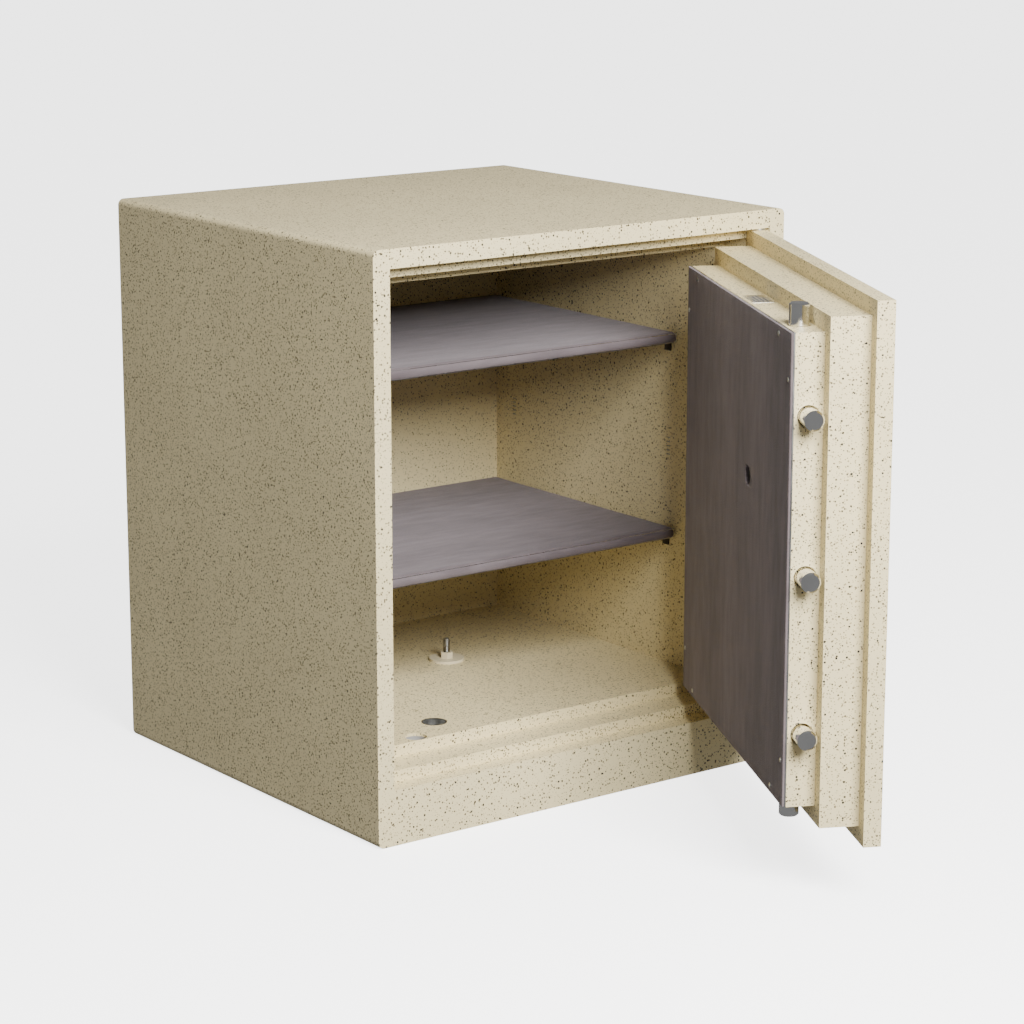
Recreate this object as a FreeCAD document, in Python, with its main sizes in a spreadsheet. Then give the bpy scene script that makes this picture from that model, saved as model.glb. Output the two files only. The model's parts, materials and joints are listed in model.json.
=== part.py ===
"""A free-standing steel safe: a filled cabinet with a stepped door frame, a stepped door that swings on
two pins, throw bolts worked by a lever handle, a dial lock, and two fabric-covered shelves.

Frame: millimetres, +Z up, the door side faces -Y, origin on the underside at the middle of the footprint.
The door's pieces are drawn shut and then swung open by door_angle about the hinge line.
"""
import FreeCAD, Part
import os
import Sketcher

SIZES = {
    # cabinet: outside, skin and the opening's margins
    "cab_w": 540, "cab_d": 500, "cab_h": 620, "skin": 3, "bend": 7, "stile": 20, "sill": 60,
    # door frame: a folded sheet that steps in twice
    "frame_t": 3, "frame_d": 125, "recess_d": 22, "passage_d": 38, "step_a": 12.5, "step_b": 13,
    # inner box
    "back_wall": 38, "liner_t": 2,
    # door slab and its hinge
    "door_angle": 63, "hinge_inset": 8, "slab_gap": 2, "slab_t": 18,
    "pin_d": 9, "pin_l": 26, "pin_in": 10, "pin_play": 0.05, "washer_d": 15, "washer_t": 1.6,
    # the two steps behind the slab
    "plug_gap": 6, "plug_t": 40, "box_gap": 10.5, "box_t": 29, "tray_t": 3, "panel_t": 1.5, "velour_t": 2.5,
    "plate_w": 130, "plate_l": 230, "plate_t": 6, "sleeve_t": 2,
    # bolts
    "bolt_d": 20, "bolt_edge": 1.5, "throw": 22, "bolt_tail": 12, "bolt_mid": 326, "bolt_pitch": 157,
    "bolt_play": 0.4, "keeper_play": 2, "hole_play": 1.5, "bush_wall": 4, "bush_t": 3, "upright_in": 42,
    "dog_d": 16, "dog_out": 16, "dog_play": 4, "dog_end": 52, "dog_tail": 14,
    # bolt work
    "bar_w": 12, "bar_t": 14, "arm_t": 4, "link_w": 16, "link_t": 2, "lay_gap": 2.5, "cover_room": 1.5,
    "swing": 60, "cam_d": 62, "cam_t": 4, "cam_pin_d": 6, "cam_pin_play": 0.5, "slot_extra": 0.5,
    "stud_pin_d": 8, "stud_off": 12, "guide_off": 9, "guide_t": 3, "guide_lip": 4, "guide_half": 17,
    "bar_end": 6, "arm_rise": 10, "arm_past": 10, "tab_w": 10, "tab_gap": 1.5, "crank_rise": 17,
    # handle and dial
    "work_x": 60, "handle_z": 290, "spindle_d": 12, "spindle_play": 0.05, "rose_d": 56, "rose_t": 5,
    "hub_d": 30, "hub_l": 36, "lever_d": 16, "lever_l": 118, "knob_d": 24, "clip_d": 20, "clip_t": 2,
    "lock_z": 394, "spy_d": 20, "dial_ring_d": 88, "dial_ring_t": 7, "dial_d": 74, "dial_t": 6,
    "dial_knob_d": 40, "dial_knob_l": 22, "dial_shaft_d": 8,
    # lock
    "case_w": 61, "case_h": 86, "case_t": 3, "wheel_d": 42, "wheel_t": 3, "wheel_pitch": 4.2,
    "key_hole_d": 6, "lock_bolt_w": 20, "lock_bolt_t": 9, "lock_bolt_l": 24, "lock_bolt_out": 10,
    # shelves and their clips
    "shelf_low": 248, "shelf_high": 472, "shelf_t": 13, "shelf_play": 2, "shelf_front": 119, "wrap_t": 1.5,
    "shelf_sheet": 2, "clip_w": 10, "clip_sheet": 2, "clip_out": 9, "clip_drop": 10, "clip_front": 138,
    "clip_back": 428, "slot_l": 9, "slot_w": 1.6, "slot_pitch": 4.8, "slot_drop": 2.6, "hook_play": 0.2,
    "spare_slots": 352,
    # floor anchors
    "anchor_d": 25, "anchor_wall": 1.5, "hole_x": -125, "hole_y": 105, "stud_x": 28, "stud_y": 295,
    "foot_d": 40, "foot_t": 3, "stud_d": 8, "stud_up": 26, "nut_af": 13, "nut_t": 7,
    # trim
    "screw_d": 5, "screw_t": 1.2, "screw_in": 8, "screw_off": 46,
    "label_w": 46, "label_d": 22, "label_t": 0.4, "label_x": -15,
}

doc = FreeCAD.newDocument("safe")
sheet = doc.addObject("Spreadsheet::Sheet", "sizes")
for row, (alias, value) in enumerate(SIZES.items(), start=1):
    sheet.set(f"A{row}", alias)
    sheet.set(f"B{row}", str(value))
    sheet.setAlias(f"B{row}", alias)
doc.recompute()

PARTS = []


# ---- expressions -------------------------------------------------------------------------------------

def cell(text):
    """The expression with each size's alias pointed at the sheet."""
    out, word = "", ""
    for letter in f"{text} ":
        if letter.isalnum() or letter == "_":
            word += letter
            continue
        out += (f"sizes.{word}" if word in SIZES else word) + letter
        word = ""
    return out.strip()


def bind(thing, **properties):
    """Ties properties to expressions; a double underscore in a name stands for a dot."""
    for name, text in properties.items():
        thing.setExpression(name.replace("__", "."), cell(text))
    return thing


FRONT = "(-cab_d / 2)"


def deep(text):
    """The y of a plane that lies a given depth behind the cabinet's front."""
    return f"({FRONT} + {text})"


def opening(inset):
    """Half width, lowest z and highest z of the door opening, stepped in by inset."""
    return f"(cab_w / 2 - stile - {inset})", f"(sill + {inset})", f"(cab_h - stile - {inset})"


# ---- solids ------------------------------------------------------------------------------------------

TURNS = {
    "+x": ((0, 1, 0), 90), "-x": ((0, 1, 0), -90), "+y": ((1, 0, 0), -90),
    "-y": ((1, 0, 0), 90), "+z": ((0, 0, 1), 0), "-z": ((1, 0, 0), 180),
}


def stand(thing, way, x, y, z):
    """Moves a piece's own origin to a point and turns its own +Z along way."""
    axis, angle = TURNS[way]
    thing.Placement.Rotation = FreeCAD.Rotation(FreeCAD.Vector(*axis), angle)
    return bind(thing, Placement__Base__x=x, Placement__Base__y=y, Placement__Base__z=z)


def block(x, y, z):
    """A box given as three (low, high) pairs of expressions."""
    thing = doc.addObject("Part::Box", "block")
    length, width, height = (f"({high}) - ({low})" for low, high in (x, y, z))
    bind(thing, Length=length, Width=width, Height=height)
    return stand(thing, "+z", x[0], y[0], z[0])


def rod(way, start, diameter, length):
    """A round bar that runs from start along way."""
    thing = doc.addObject("Part::Cylinder", "rod")
    bind(thing, Radius=f"({diameter}) / 2", Height=length)
    return stand(thing, way, *start)


def fuse(*things):
    if len(things) == 1:
        return things[0]
    joined = doc.addObject("Part::MultiFuse", "fuse")
    joined.Shapes = list(things)
    joined.Refine = True
    return joined


def cut(base, *tools):
    made = doc.addObject("Part::Cut", "cut")
    made.Base, made.Tool = base, fuse(*tools)
    made.Refine = True
    return made


def common(first, second):
    made = doc.addObject("Part::Common", "common")
    made.Base, made.Tool = first, second
    return made


def group(*things):
    held = doc.addObject("Part::Compound", "group")
    held.Links = list(things)
    return held


def flat_sketch(body, role, name):
    """A sketch on one of the body's own origin planes."""
    plane = next(item for item in body.Origin.OriginFeatures if item.Role == role)
    sketch = body.newObject("Sketcher::SketchObject", name)
    sketch.AttachmentSupport, sketch.MapMode = [(plane, "")], "FlatFace"
    return sketch


def outline(sketch, points):
    """A closed loop of straight lines whose corners sit at pairs of expressions."""
    count = len(points)
    rough = [FreeCAD.Vector(10 + 7 * i, 10 + 3 * i * i, 0) for i in range(count)]
    for i in range(count):
        sketch.addGeometry(Part.LineSegment(rough[i], rough[(i + 1) % count]), False)
    for i in range(count):
        sketch.addConstraint(Sketcher.Constraint("Coincident", i, 2, (i + 1) % count, 1))
    for i, corner in enumerate(points):
        for kind, axis, text in zip(("DistanceX", "DistanceY"), (-2, -1), corner):
            if text == "0":
                sketch.addConstraint(Sketcher.Constraint("PointOnObject", i, 1, axis))
                continue
            at = sketch.addConstraint(Sketcher.Constraint(kind, -1, 1, i, 1, 10.0 + i))
            sketch.setExpression(f"Constraints[{at}]", cell(text))
    return sketch


def turned(name, profile):
    """A piece turned about its own Z axis, from (radius, height) pairs of expressions."""
    body = doc.addObject("PartDesign::Body", f"{name}_form")
    sketch = outline(flat_sketch(body, "XZ_Plane", f"{name}_profile"), profile)
    made = body.newObject("PartDesign::Revolution", f"{name}_turned")
    made.Profile, made.ReferenceAxis, made.Angle = sketch, (sketch, ["V_Axis"]), 360
    return body


def shaft(name, diameter, length, edge="1"):
    """A turned bar with both ends chamfered."""
    r = f"({diameter}) / 2"
    return turned(name, [("0", "0"), (f"{r} - {edge}", "0"), (r, edge), (r, f"{length} - {edge}"),
                         (f"{r} - {edge}", length), ("0", length)])


def ring(name, inner, outer, height):
    """A flat turned ring."""
    a, b = f"({inner}) / 2", f"({outer}) / 2"
    return turned(name, [(a, "0"), (b, "0"), (b, height), (a, height)])


# ---- finished pieces ---------------------------------------------------------------------------------

def keep(label, *things):
    """Names a finished sub-part of the cabinet."""
    held = things[0] if len(things) == 1 else group(*things)
    held.Label = label
    PARTS.append(held)
    return held


HINGE_X = "(cab_w / 2 - stile - slab_gap - hinge_inset)"
HINGE_Y = deep("hinge_inset")


def keep_door(label, *things):
    """Names a finished sub-part of the door and swings it open about the hinge line."""
    held = group(*things)
    held.Placement.Rotation = FreeCAD.Rotation(FreeCAD.Vector(0, 0, 1), 1)
    cos, sin = "cos(door_angle * 1deg)", "sin(door_angle * 1deg)"
    bind(held, Placement__Rotation__Angle="door_angle * 1deg",
         Placement__Base__x=f"{HINGE_X} * (1 - {cos}) + {HINGE_Y} * {sin}",
         Placement__Base__y=f"{HINGE_Y} * (1 - {cos}) - {HINGE_X} * {sin}")
    return keep(label, held)


# ---- planes that many pieces share -------------------------------------------------------------------

IN_HALF = "(cab_w / 2 - skin)"
STEP_A, STEP_B = "step_a", "(step_a + step_b)"
CAVITY_HALF, CAVITY_LOW, CAVITY_HIGH = opening(STEP_B)
STEP_A_Y, STEP_B_Y = deep("recess_d"), deep("(recess_d + passage_d)")
FRAME_END = deep("frame_d")
BACK_IN = "(cab_d / 2 - back_wall)"
BACK_OUT = f"({BACK_IN} + liner_t)"

SLAB_HALF, SLAB_LOW, SLAB_HIGH = opening("slab_gap")
PLUG_HALF, PLUG_LOW, PLUG_HIGH = opening("(step_a + plug_gap)")
BOX_HALF, BOX_LOW, BOX_HIGH = opening("(step_a + step_b + box_gap)")
PLUG_Y = deep("slab_t")
BOX_Y = deep("(slab_t + plug_t)")
COVER_Y = deep("(slab_t + plug_t + box_t)")

# layers of the bolt work, from the cover forwards
LINK_Y = f"({COVER_Y} - cover_room - link_t)"
CAM_Y = f"({LINK_Y} - lay_gap - cam_t)"
ARM_Y = f"({CAM_Y} - lay_gap - 1 - arm_t)"
BOLT_Y = f"({BOX_Y} + box_t / 2)"
CASE_END = f"({LINK_Y} - lay_gap / 2)"

WORK_X = "(-work_x)"
UPRIGHT_X = f"(upright_in - {BOX_HALF})"
BOLT_ZS = ("bolt_mid - bolt_pitch", "bolt_mid", "bolt_mid + bolt_pitch")
DOG_ZS = (f"{BOX_LOW} + dog_end", f"{BOX_HIGH} - dog_end")
ANCHORS = (("hole_x", deep("hole_y")), ("stud_x", deep("stud_y")))
CLIP_YS = (deep("clip_front"), deep("clip_back"))
SHELVES = {"lower": "shelf_low", "upper": "shelf_high"}


# ---- cabinet -----------------------------------------------------------------------------------------

def anchor_bores(top):
    """What the two floor anchor sleeves pass through, from under the skin up to top."""
    return [rod("+z", (x, y, "-1"), "anchor_d + 2 * anchor_wall", f"{top} + 1") for x, y in ANCHORS]


def outer_wrap():
    """The bent skin: top, bottom and both sides, rounded along its four long corners."""
    body = doc.addObject("PartDesign::Body", "wrap")
    corners = {"outside": ("cab_w / 2", "0", "cab_h"), "inside": (IN_HALF, "skin", "cab_h - skin")}
    sketches = {}
    for side, (half, low, high) in corners.items():
        points = [(f"-{half}", low), (half, low), (half, high), (f"-{half}", high)]
        sketches[side] = outline(flat_sketch(body, "XZ_Plane", f"wrap_{side}"), points)
    pad = body.newObject("PartDesign::Pad", "wrap_pad")
    pad.Profile, pad.SideType = sketches["outside"], "Symmetric"
    bind(pad, Length="cab_d")
    doc.recompute()
    long_edges = [f"Edge{i}" for i, edge in enumerate(pad.Shape.Edges, start=1)
                  if abs(edge.tangentAt(edge.FirstParameter).y) > 0.99]
    bends = body.newObject("PartDesign::Fillet", "wrap_bends")
    bends.Base = (pad, long_edges)
    bind(bends, Radius="bend")
    hollow = body.newObject("PartDesign::Pocket", "wrap_hollow")
    hollow.Profile, hollow.SideType = sketches["inside"], "Symmetric"
    bind(hollow, Length="2 * cab_d")
    keep("outer_wrap", cut(body, *anchor_bores("skin + 1")))
    back = ("cab_d / 2 - skin", "cab_d / 2")
    keep("rear_panel", block((f"-{IN_HALF}", IN_HALF), back, ("skin", "cab_h - skin")))


def room(inset, y, grow="0"):
    """A block that fills the door opening, stepped in by inset and grown all round."""
    half, low, high = opening(inset)
    return block((f"-{half} - {grow}", f"{half} + {grow}"), y, (f"{low} - {grow}", f"{high} + {grow}"))


def frame_blocks():
    """The frame's outer form, as blocks: its face plate, both steps and the tunnel behind them."""
    face = block((f"-{IN_HALF}", IN_HALF), (FRONT, deep("frame_t")), ("skin", "cab_h - skin"))
    first = room("0", (FRONT, f"{STEP_A_Y} + frame_t"), "frame_t")
    second = room(STEP_A, (FRONT, f"{STEP_B_Y} + frame_t"), "frame_t")
    return fuse(face, first, second, room(STEP_B, (FRONT, FRAME_END), "frame_t"))


def frame_rooms():
    """The stepped space that the door shuts into."""
    ahead = f"{FRONT} - 1"
    return [room("0", (ahead, STEP_A_Y)), room(STEP_A, (ahead, STEP_B_Y)),
            room(STEP_B, (ahead, f"{FRAME_END} + 1"))]


def keeper_bores():
    """The holes that the thrown bolts and the fixed dog bolts reach into, in the frame and the fill."""
    reach, bore = "(throw - box_gap + keeper_play)", "bolt_d + 2 * keeper_play"
    bores = [rod("-x", (f"1 - {CAVITY_HALF}", BOLT_Y, z), bore, f"{reach} + 1") for z in BOLT_ZS]
    bores.append(rod("+z", (UPRIGHT_X, BOLT_Y, f"{CAVITY_HIGH} - 1"), bore, f"{reach} + 1"))
    bores.append(rod("-z", (UPRIGHT_X, BOLT_Y, f"{CAVITY_LOW} + 1"), bore, f"{reach} + 1"))
    dog_bore, dog_reach = "dog_d + 2 * dog_play", "(dog_out - box_gap + dog_play)"
    bores += [rod("+x", (f"{CAVITY_HALF} - 1", BOLT_Y, z), dog_bore, f"{dog_reach} + 1") for z in DOG_ZS]
    return bores


PIN_STARTS = {"+z": "sill + pin_in - pin_l", "-z": "cab_h - stile - pin_in + pin_l"}


def hinge_seats():
    """The bores in head and sill that hold the hinge pins."""
    return [rod(way, (HINGE_X, HINGE_Y, start), "pin_d", "pin_l") for way, start in PIN_STARTS.items()]


def door_frame():
    """Head, sill and two jambs: the sill and head run right across, and the jambs stand between them."""
    bores = [*keeper_bores(), *hinge_seats(), *anchor_bores(f"{CAVITY_LOW} + 1")]
    whole = cut(frame_blocks(), *frame_rooms(), *bores)
    across, along = ("-cab_w", "cab_w"), (f"{FRONT} - 1", f"{FRAME_END} + 1")
    between = (CAVITY_LOW, CAVITY_HIGH)
    keep("frame_sill", common(whole, block(across, along, ("0", CAVITY_LOW))))
    keep("frame_head", common(whole, block(across, along, (CAVITY_HIGH, "cab_h"))))
    keep("frame_left_jamb", common(whole, block(("-cab_w", "0"), along, between)))
    keep("frame_right_jamb", common(whole, block(("0", "cab_w"), along, between)))


def inner_box():
    """The five panels that line the inside, flush with the frame's tunnel."""
    run = (FRAME_END, BACK_IN)
    wide = (f"-{CAVITY_HALF} - liner_t", f"{CAVITY_HALF} + liner_t")
    floor = block(wide, run, (f"{CAVITY_LOW} - liner_t", CAVITY_LOW))
    keep("liner_floor", cut(floor, *anchor_bores(f"{CAVITY_LOW} + 1")))
    keep("liner_ceiling", block(wide, run, (CAVITY_HIGH, f"{CAVITY_HIGH} + liner_t")))
    tall = (CAVITY_LOW, CAVITY_HIGH)
    left = block((f"-{CAVITY_HALF} - liner_t", f"-{CAVITY_HALF}"), run, tall)
    right = block((CAVITY_HALF, f"{CAVITY_HALF} + liner_t"), run, tall)
    keep("liner_left_wall", cut(left, *clip_slots("-")))
    keep("liner_right_wall", cut(right, *clip_slots("")))
    full = (f"{CAVITY_LOW} - liner_t", f"{CAVITY_HIGH} + liner_t")
    keep("liner_back", block(wide, (BACK_IN, BACK_OUT), full))


def clip_slots(sign):
    """Short slots in a side wall: two behind each clip for its hooks, and a spare ladder of five."""
    ladders = [(f"({level} - shelf_t)", 2) for level in SHELVES.values()] + [("spare_slots", 5)]
    middle = f"{sign}({CAVITY_HALF} + liner_t / 2)"
    across = (f"{middle} - liner_t", f"{middle} + liner_t")
    slots = []
    for y in CLIP_YS:
        along = (f"{y} - slot_l / 2", f"{y} + slot_l / 2")
        for ladder, count in ladders:
            for i in range(count):
                top = f"({ladder} - slot_drop - {i} * slot_pitch)"
                slots.append(block(across, along, (f"{top} - slot_w", top)))
    return slots


def barrier():
    """The cast fill between the skin and the inner box, in five slabs."""
    low, high = f"{CAVITY_LOW} - liner_t", f"{CAVITY_HIGH} + liner_t"
    half = f"({CAVITY_HALF} + liner_t)"
    wide, run, tall = (f"-{IN_HALF}", IN_HALF), (deep("frame_t"), BACK_OUT), (low, high)
    sides = {
        "left": block((f"-{IN_HALF}", f"-{half}"), run, tall),
        "right": block((half, IN_HALF), run, tall),
        "top": block(wide, run, (high, "cab_h - skin")),
        "bottom": block(wide, run, ("skin", low)),
    }
    for side, slab in sides.items():
        tools = [frame_blocks(), *keeper_bores(), *hinge_seats()]
        if side == "bottom":
            tools += anchor_bores(CAVITY_LOW)
        keep(f"barrier_{side}", cut(slab, *tools))
    keep("barrier_rear", block(wide, (BACK_OUT, "cab_d / 2 - skin"), ("skin", "cab_h - skin")))


def shelf_clips():
    """Eight pressed clips: a plate against the wall, two hooks in its slots and a ledge under the shelf."""
    clips = []
    for level in SHELVES.values():
        top = f"({level} - shelf_t)"
        for sign in (-1, 1):
            wall, tip = f"{sign} * {CAVITY_HALF}", f"{sign} * ({CAVITY_HALF} - clip_out)"
            plate, root = f"{sign} * ({CAVITY_HALF} - clip_sheet)", f"{sign} * ({CAVITY_HALF} + liner_t)"
            ends = {"ledge": (tip, wall), "plate": (plate, wall), "hook": (plate, root)}
            across = {name: pair[::sign] for name, pair in ends.items()}
            for y in CLIP_YS:
                along = (f"{y} - clip_w / 2", f"{y} + clip_w / 2")
                hook_y = (f"{y} - slot_l / 2 + hook_play", f"{y} + slot_l / 2 - hook_play")
                pieces = [block(across["ledge"], along, (f"{top} - clip_sheet", top)),
                          block(across["plate"], along, (f"{top} - clip_drop", top))]
                for i in range(2):
                    slot = f"({top} - slot_drop - {i} * slot_pitch)"
                    hook_z = (f"{slot} - slot_w + hook_play", f"{slot} - hook_play")
                    pieces.append(block(across["hook"], hook_y, hook_z))
                clips.append(fuse(*pieces))
    keep("shelf_clips", *clips)


def shelves():
    """Two steel trays with folded edges, each pulled into a fabric sleeve that is open at the back."""
    half, front, back = f"({CAVITY_HALF} - shelf_play)", deep("shelf_front"), f"({BACK_IN} - shelf_play)"
    for name, level in SHELVES.items():
        low = f"({level} - shelf_t)"
        sleeve = block((f"-{half}", half), (front, back), (low, level))
        inside = block((f"-{half} + wrap_t", f"{half} - wrap_t"), (f"{front} + wrap_t", f"{back} + 1"),
                       (f"{low} + wrap_t", f"{level} - wrap_t"))
        keep(f"{name}_shelf_sleeve", cut(sleeve, inside))
        tray = block((f"-{half} + wrap_t", f"{half} - wrap_t"), (f"{front} + wrap_t", back),
                     (f"{low} + wrap_t", f"{level} - wrap_t"))
        under = block((f"-{half} + wrap_t + shelf_sheet", f"{half} - wrap_t - shelf_sheet"),
                      (f"{front} + wrap_t + shelf_sheet", f"{back} - shelf_sheet"),
                      (low, f"{level} - wrap_t - shelf_sheet"))
        keep(f"{name}_shelf_tray", cut(tray, under))


def floor_anchors():
    """A sleeve through the floor at both anchor holes, and a bolted stud in the rear one."""
    length = f"{CAVITY_LOW}"
    sleeves = [stand(ring("anchor_sleeve", "anchor_d", "anchor_d + 2 * anchor_wall", length), "+z", x, y, "0")
               for x, y in ANCHORS]
    keep("anchor_sleeves", *sleeves)
    x, y = ANCHORS[1]
    keep("anchor_plate", stand(ring("plate", "stud_d", "foot_d", "foot_t"), "+z", x, y, CAVITY_LOW))
    nut = doc.addObject("Part::Prism", "nut")
    nut.Polygon = 6
    bind(nut, Circumradius="nut_af / sqrt(3)", Height="nut_t")
    stand(nut, "+z", x, y, f"{CAVITY_LOW} + foot_t")
    keep("anchor_nut", cut(nut, rod("+z", (x, y, CAVITY_LOW), "stud_d", "foot_t + nut_t + 1")))
    keep("anchor_stud", stand(shaft("stud", "stud_d", f"{CAVITY_LOW} - 5 + stud_up"), "+z", x, y, "5"))


def hinge():
    """Two pins fixed in sill and head, and the thrust washer that each passes through."""
    pins = [stand(shaft("hinge_pin", "pin_d", "pin_l"), way, HINGE_X, HINGE_Y, start)
            for way, start in PIN_STARTS.items()]
    keep("hinge_pins", *pins)
    washers = [stand(ring("washer", "pin_d", "washer_d", "washer_t"), way, HINGE_X, HINGE_Y, start)
               for way, start in {"+z": "sill", "-z": "cab_h - stile"}.items()]
    keep("hinge_washers", *washers)


# ---- door --------------------------------------------------------------------------------------------

def shaft_bores(diameter_handle, diameter_dial, start, length):
    """Through holes for the handle's spindle and the dial's shaft."""
    return [rod("+y", (WORK_X, start, "handle_z"), diameter_handle, length),
            rod("+y", (WORK_X, start, "lock_z"), diameter_dial, length)]


SLEEVE_HANDLE = "spindle_d + 2 * sleeve_t + 1"
SLEEVE_DIAL = "dial_shaft_d + 2 * sleeve_t + 1"


def door_slab():
    """The outer slab, rounded on the hinge side about the hinge line so that it can turn."""
    slab = block((f"-{SLAB_HALF}", SLAB_HALF), (FRONT, PLUG_Y), (SLAB_LOW, SLAB_HIGH))
    tall = (f"{SLAB_LOW} - 1", f"{SLAB_HIGH} + 1")
    corner = block((HINGE_X, f"{SLAB_HALF} + 1"), (f"{FRONT} - 1", HINGE_Y), tall)
    nose_l = f"{SLAB_HIGH} - {SLAB_LOW} + 4"
    nose = rod("+z", (HINGE_X, HINGE_Y, f"{SLAB_LOW} - 2"), "2 * hinge_inset", nose_l)
    sockets = [rod("+z", (HINGE_X, HINGE_Y, f"{SLAB_LOW} - 1"), "pin_d + 2 * pin_play", "pin_in + 1"),
               rod("-z", (HINGE_X, HINGE_Y, f"{SLAB_HIGH} + 1"), "pin_d + 2 * pin_play", "pin_in + 1")]
    bores = shaft_bores(SLEEVE_HANDLE, SLEEVE_DIAL, f"{FRONT} - 1", "slab_t + 2")
    keep_door("door_slab", cut(slab, cut(corner, nose), *sockets, *bores))


def first_step():
    """The step behind the slab: a folded tray, its cast fill, the hard plate and two shaft sleeves."""
    tray = block((f"-{PLUG_HALF}", PLUG_HALF), (PLUG_Y, BOX_Y), (PLUG_LOW, PLUG_HIGH))
    in_x = (f"-{PLUG_HALF} + tray_t", f"{PLUG_HALF} - tray_t")
    in_z = (f"{PLUG_LOW} + tray_t", f"{PLUG_HIGH} - tray_t")
    hollow = block(in_x, (f"{PLUG_Y} - 1", f"{BOX_Y} - tray_t"), in_z)
    keep_door("step_tray", cut(tray, hollow, *shaft_bores(SLEEVE_HANDLE, SLEEVE_DIAL, PLUG_Y, "plug_t + 1")))
    middle = "(handle_z + lock_z) / 2"
    plate_x = (f"{WORK_X} - plate_w / 2", f"{WORK_X} + plate_w / 2")
    plate_z = (f"{middle} - plate_l / 2", f"{middle} + plate_l / 2")
    fill = block(in_x, (PLUG_Y, f"{BOX_Y} - tray_t"), in_z)
    recess = block(plate_x, (f"{PLUG_Y} - 1", f"{PLUG_Y} + plate_t"), plate_z)
    keep_door("door_fill", cut(fill, recess, *shaft_bores(SLEEVE_HANDLE, SLEEVE_DIAL, PLUG_Y, "plug_t")))
    plate = block(plate_x, (PLUG_Y, f"{PLUG_Y} + plate_t"), plate_z)
    keep_door("hard_plate", cut(plate, *shaft_bores(SLEEVE_HANDLE, SLEEVE_DIAL, f"{PLUG_Y} - 1", "plug_t")))
    length = "slab_t + plug_t"
    handle_sleeve = ring("handle_sleeve", "spindle_d + 2 * spindle_play", SLEEVE_HANDLE, length)
    dial_sleeve = ring("dial_sleeve", "dial_shaft_d + 2 * spindle_play", SLEEVE_DIAL, length)
    keep_door("shaft_sleeves", stand(handle_sleeve, "+y", WORK_X, FRONT, "handle_z"),
              stand(dial_sleeve, "+y", WORK_X, FRONT, "lock_z"))


# Where each moving bolt leaves the bolt box: way, x and z on the wall's outer face.
EXITS = [("-x", f"-{BOX_HALF}", z) for z in BOLT_ZS]
EXITS += [("-z", UPRIGHT_X, BOX_LOW), ("+z", UPRIGHT_X, BOX_HIGH)]
BACKWARDS = {"-x": "+x", "+x": "-x", "-z": "+z", "+z": "-z"}


def bolt_box():
    """The four walls round the bolt work, a bush behind each bolt's hole, and the fixed dog bolts."""
    whole = block((f"-{BOX_HALF}", BOX_HALF), (BOX_Y, COVER_Y), (BOX_LOW, BOX_HIGH))
    hollow = block((f"-{BOX_HALF} + tray_t", f"{BOX_HALF} - tray_t"), (f"{BOX_Y} - 1", f"{COVER_Y} + 1"),
                   (f"{BOX_LOW} + tray_t", f"{BOX_HIGH} - tray_t"))
    hole = "bolt_d + 2 * hole_play"
    bores = [rod(BACKWARDS[way], (x, BOLT_Y, z), hole, "tray_t + 1") for way, x, z in EXITS]
    bores += [rod("-x", (BOX_HALF, BOLT_Y, z), "dog_d", "tray_t + 1") for z in DOG_ZS]
    keep_door("bolt_box", cut(whole, hollow, *bores))
    inward = {"-x": ("tray_t", "0"), "-z": ("0", "tray_t"), "+z": ("0", "-tray_t")}
    bushes = []
    for way, x, z in EXITS:
        in_x, in_z = inward[way]
        bush = ring("bush", "bolt_d + 2 * bolt_play", "bolt_d + 2 * bush_wall", "bush_t")
        bushes.append(stand(bush, BACKWARDS[way], f"{x} + {in_x}", BOLT_Y, f"{z} + {in_z}"))
    keep_door("bolt_bushes", *bushes)
    dogs = []
    for z in DOG_ZS:
        dog = shaft("dog", "dog_d", "dog_tail + dog_out", "bolt_edge")
        dogs.append(stand(dog, "+x", f"{BOX_HALF} - dog_tail", BOLT_Y, z))
    keep_door("dog_bolts", *dogs)
    label_x = ("label_x - label_w / 2", "label_x + label_w / 2")
    label_y = (f"{BOLT_Y} - label_d / 2", f"{BOLT_Y} + label_d / 2")
    keep_door("blank_label", block(label_x, label_y, (BOX_HIGH, f"{BOX_HIGH} + label_t")))


def inner_cover():
    """The sheet that shuts the bolt box, its fabric facing and the screws through both."""
    wide, tall = (f"-{BOX_HALF}", BOX_HALF), (BOX_LOW, BOX_HIGH)
    face, back = f"({COVER_Y} + panel_t)", f"({COVER_Y} + panel_t + velour_t)"
    spy = ("+y", (WORK_X, f"{COVER_Y} - 1", "lock_z"), "spy_d", "panel_t + velour_t + 2")
    keep_door("cover_panel", cut(block(wide, (COVER_Y, face), tall), rod(*spy)))
    keep_door("cover_facing", cut(block(wide, (face, back), tall), rod(*spy)))
    heads = []
    for sign in ("-1 * ", ""):
        for near, far in (("screw_off", "screw_in"), ("screw_in", "screw_off")):
            for z in (f"{BOX_LOW} + {near}", f"{BOX_HIGH} - {near}"):
                head = shaft("screw_head", "screw_d", "screw_t", "0.4")
                heads.append(stand(head, "+y", f"{sign}({BOX_HALF} - {far})", back, z))
    keep_door("cover_screws", *heads)


# ---- bolt work ---------------------------------------------------------------------------------------

STUD_FROM_TIP = "(throw + tray_t + stud_off)"
GUIDE_FROM_TIP = "(2 * throw + tray_t + guide_off)"
UPRIGHT_L = f"({GUIDE_FROM_TIP} + guide_t + 1)"
PIN_X, PIN_Z = "throw * cos(swing / 2 * 1deg)", "throw * sin(swing / 2 * 1deg)"
SLOT = "(cam_pin_d / 2 + cam_pin_play)"
SLOT_END = f"({SLOT} + slot_extra)"


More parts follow.
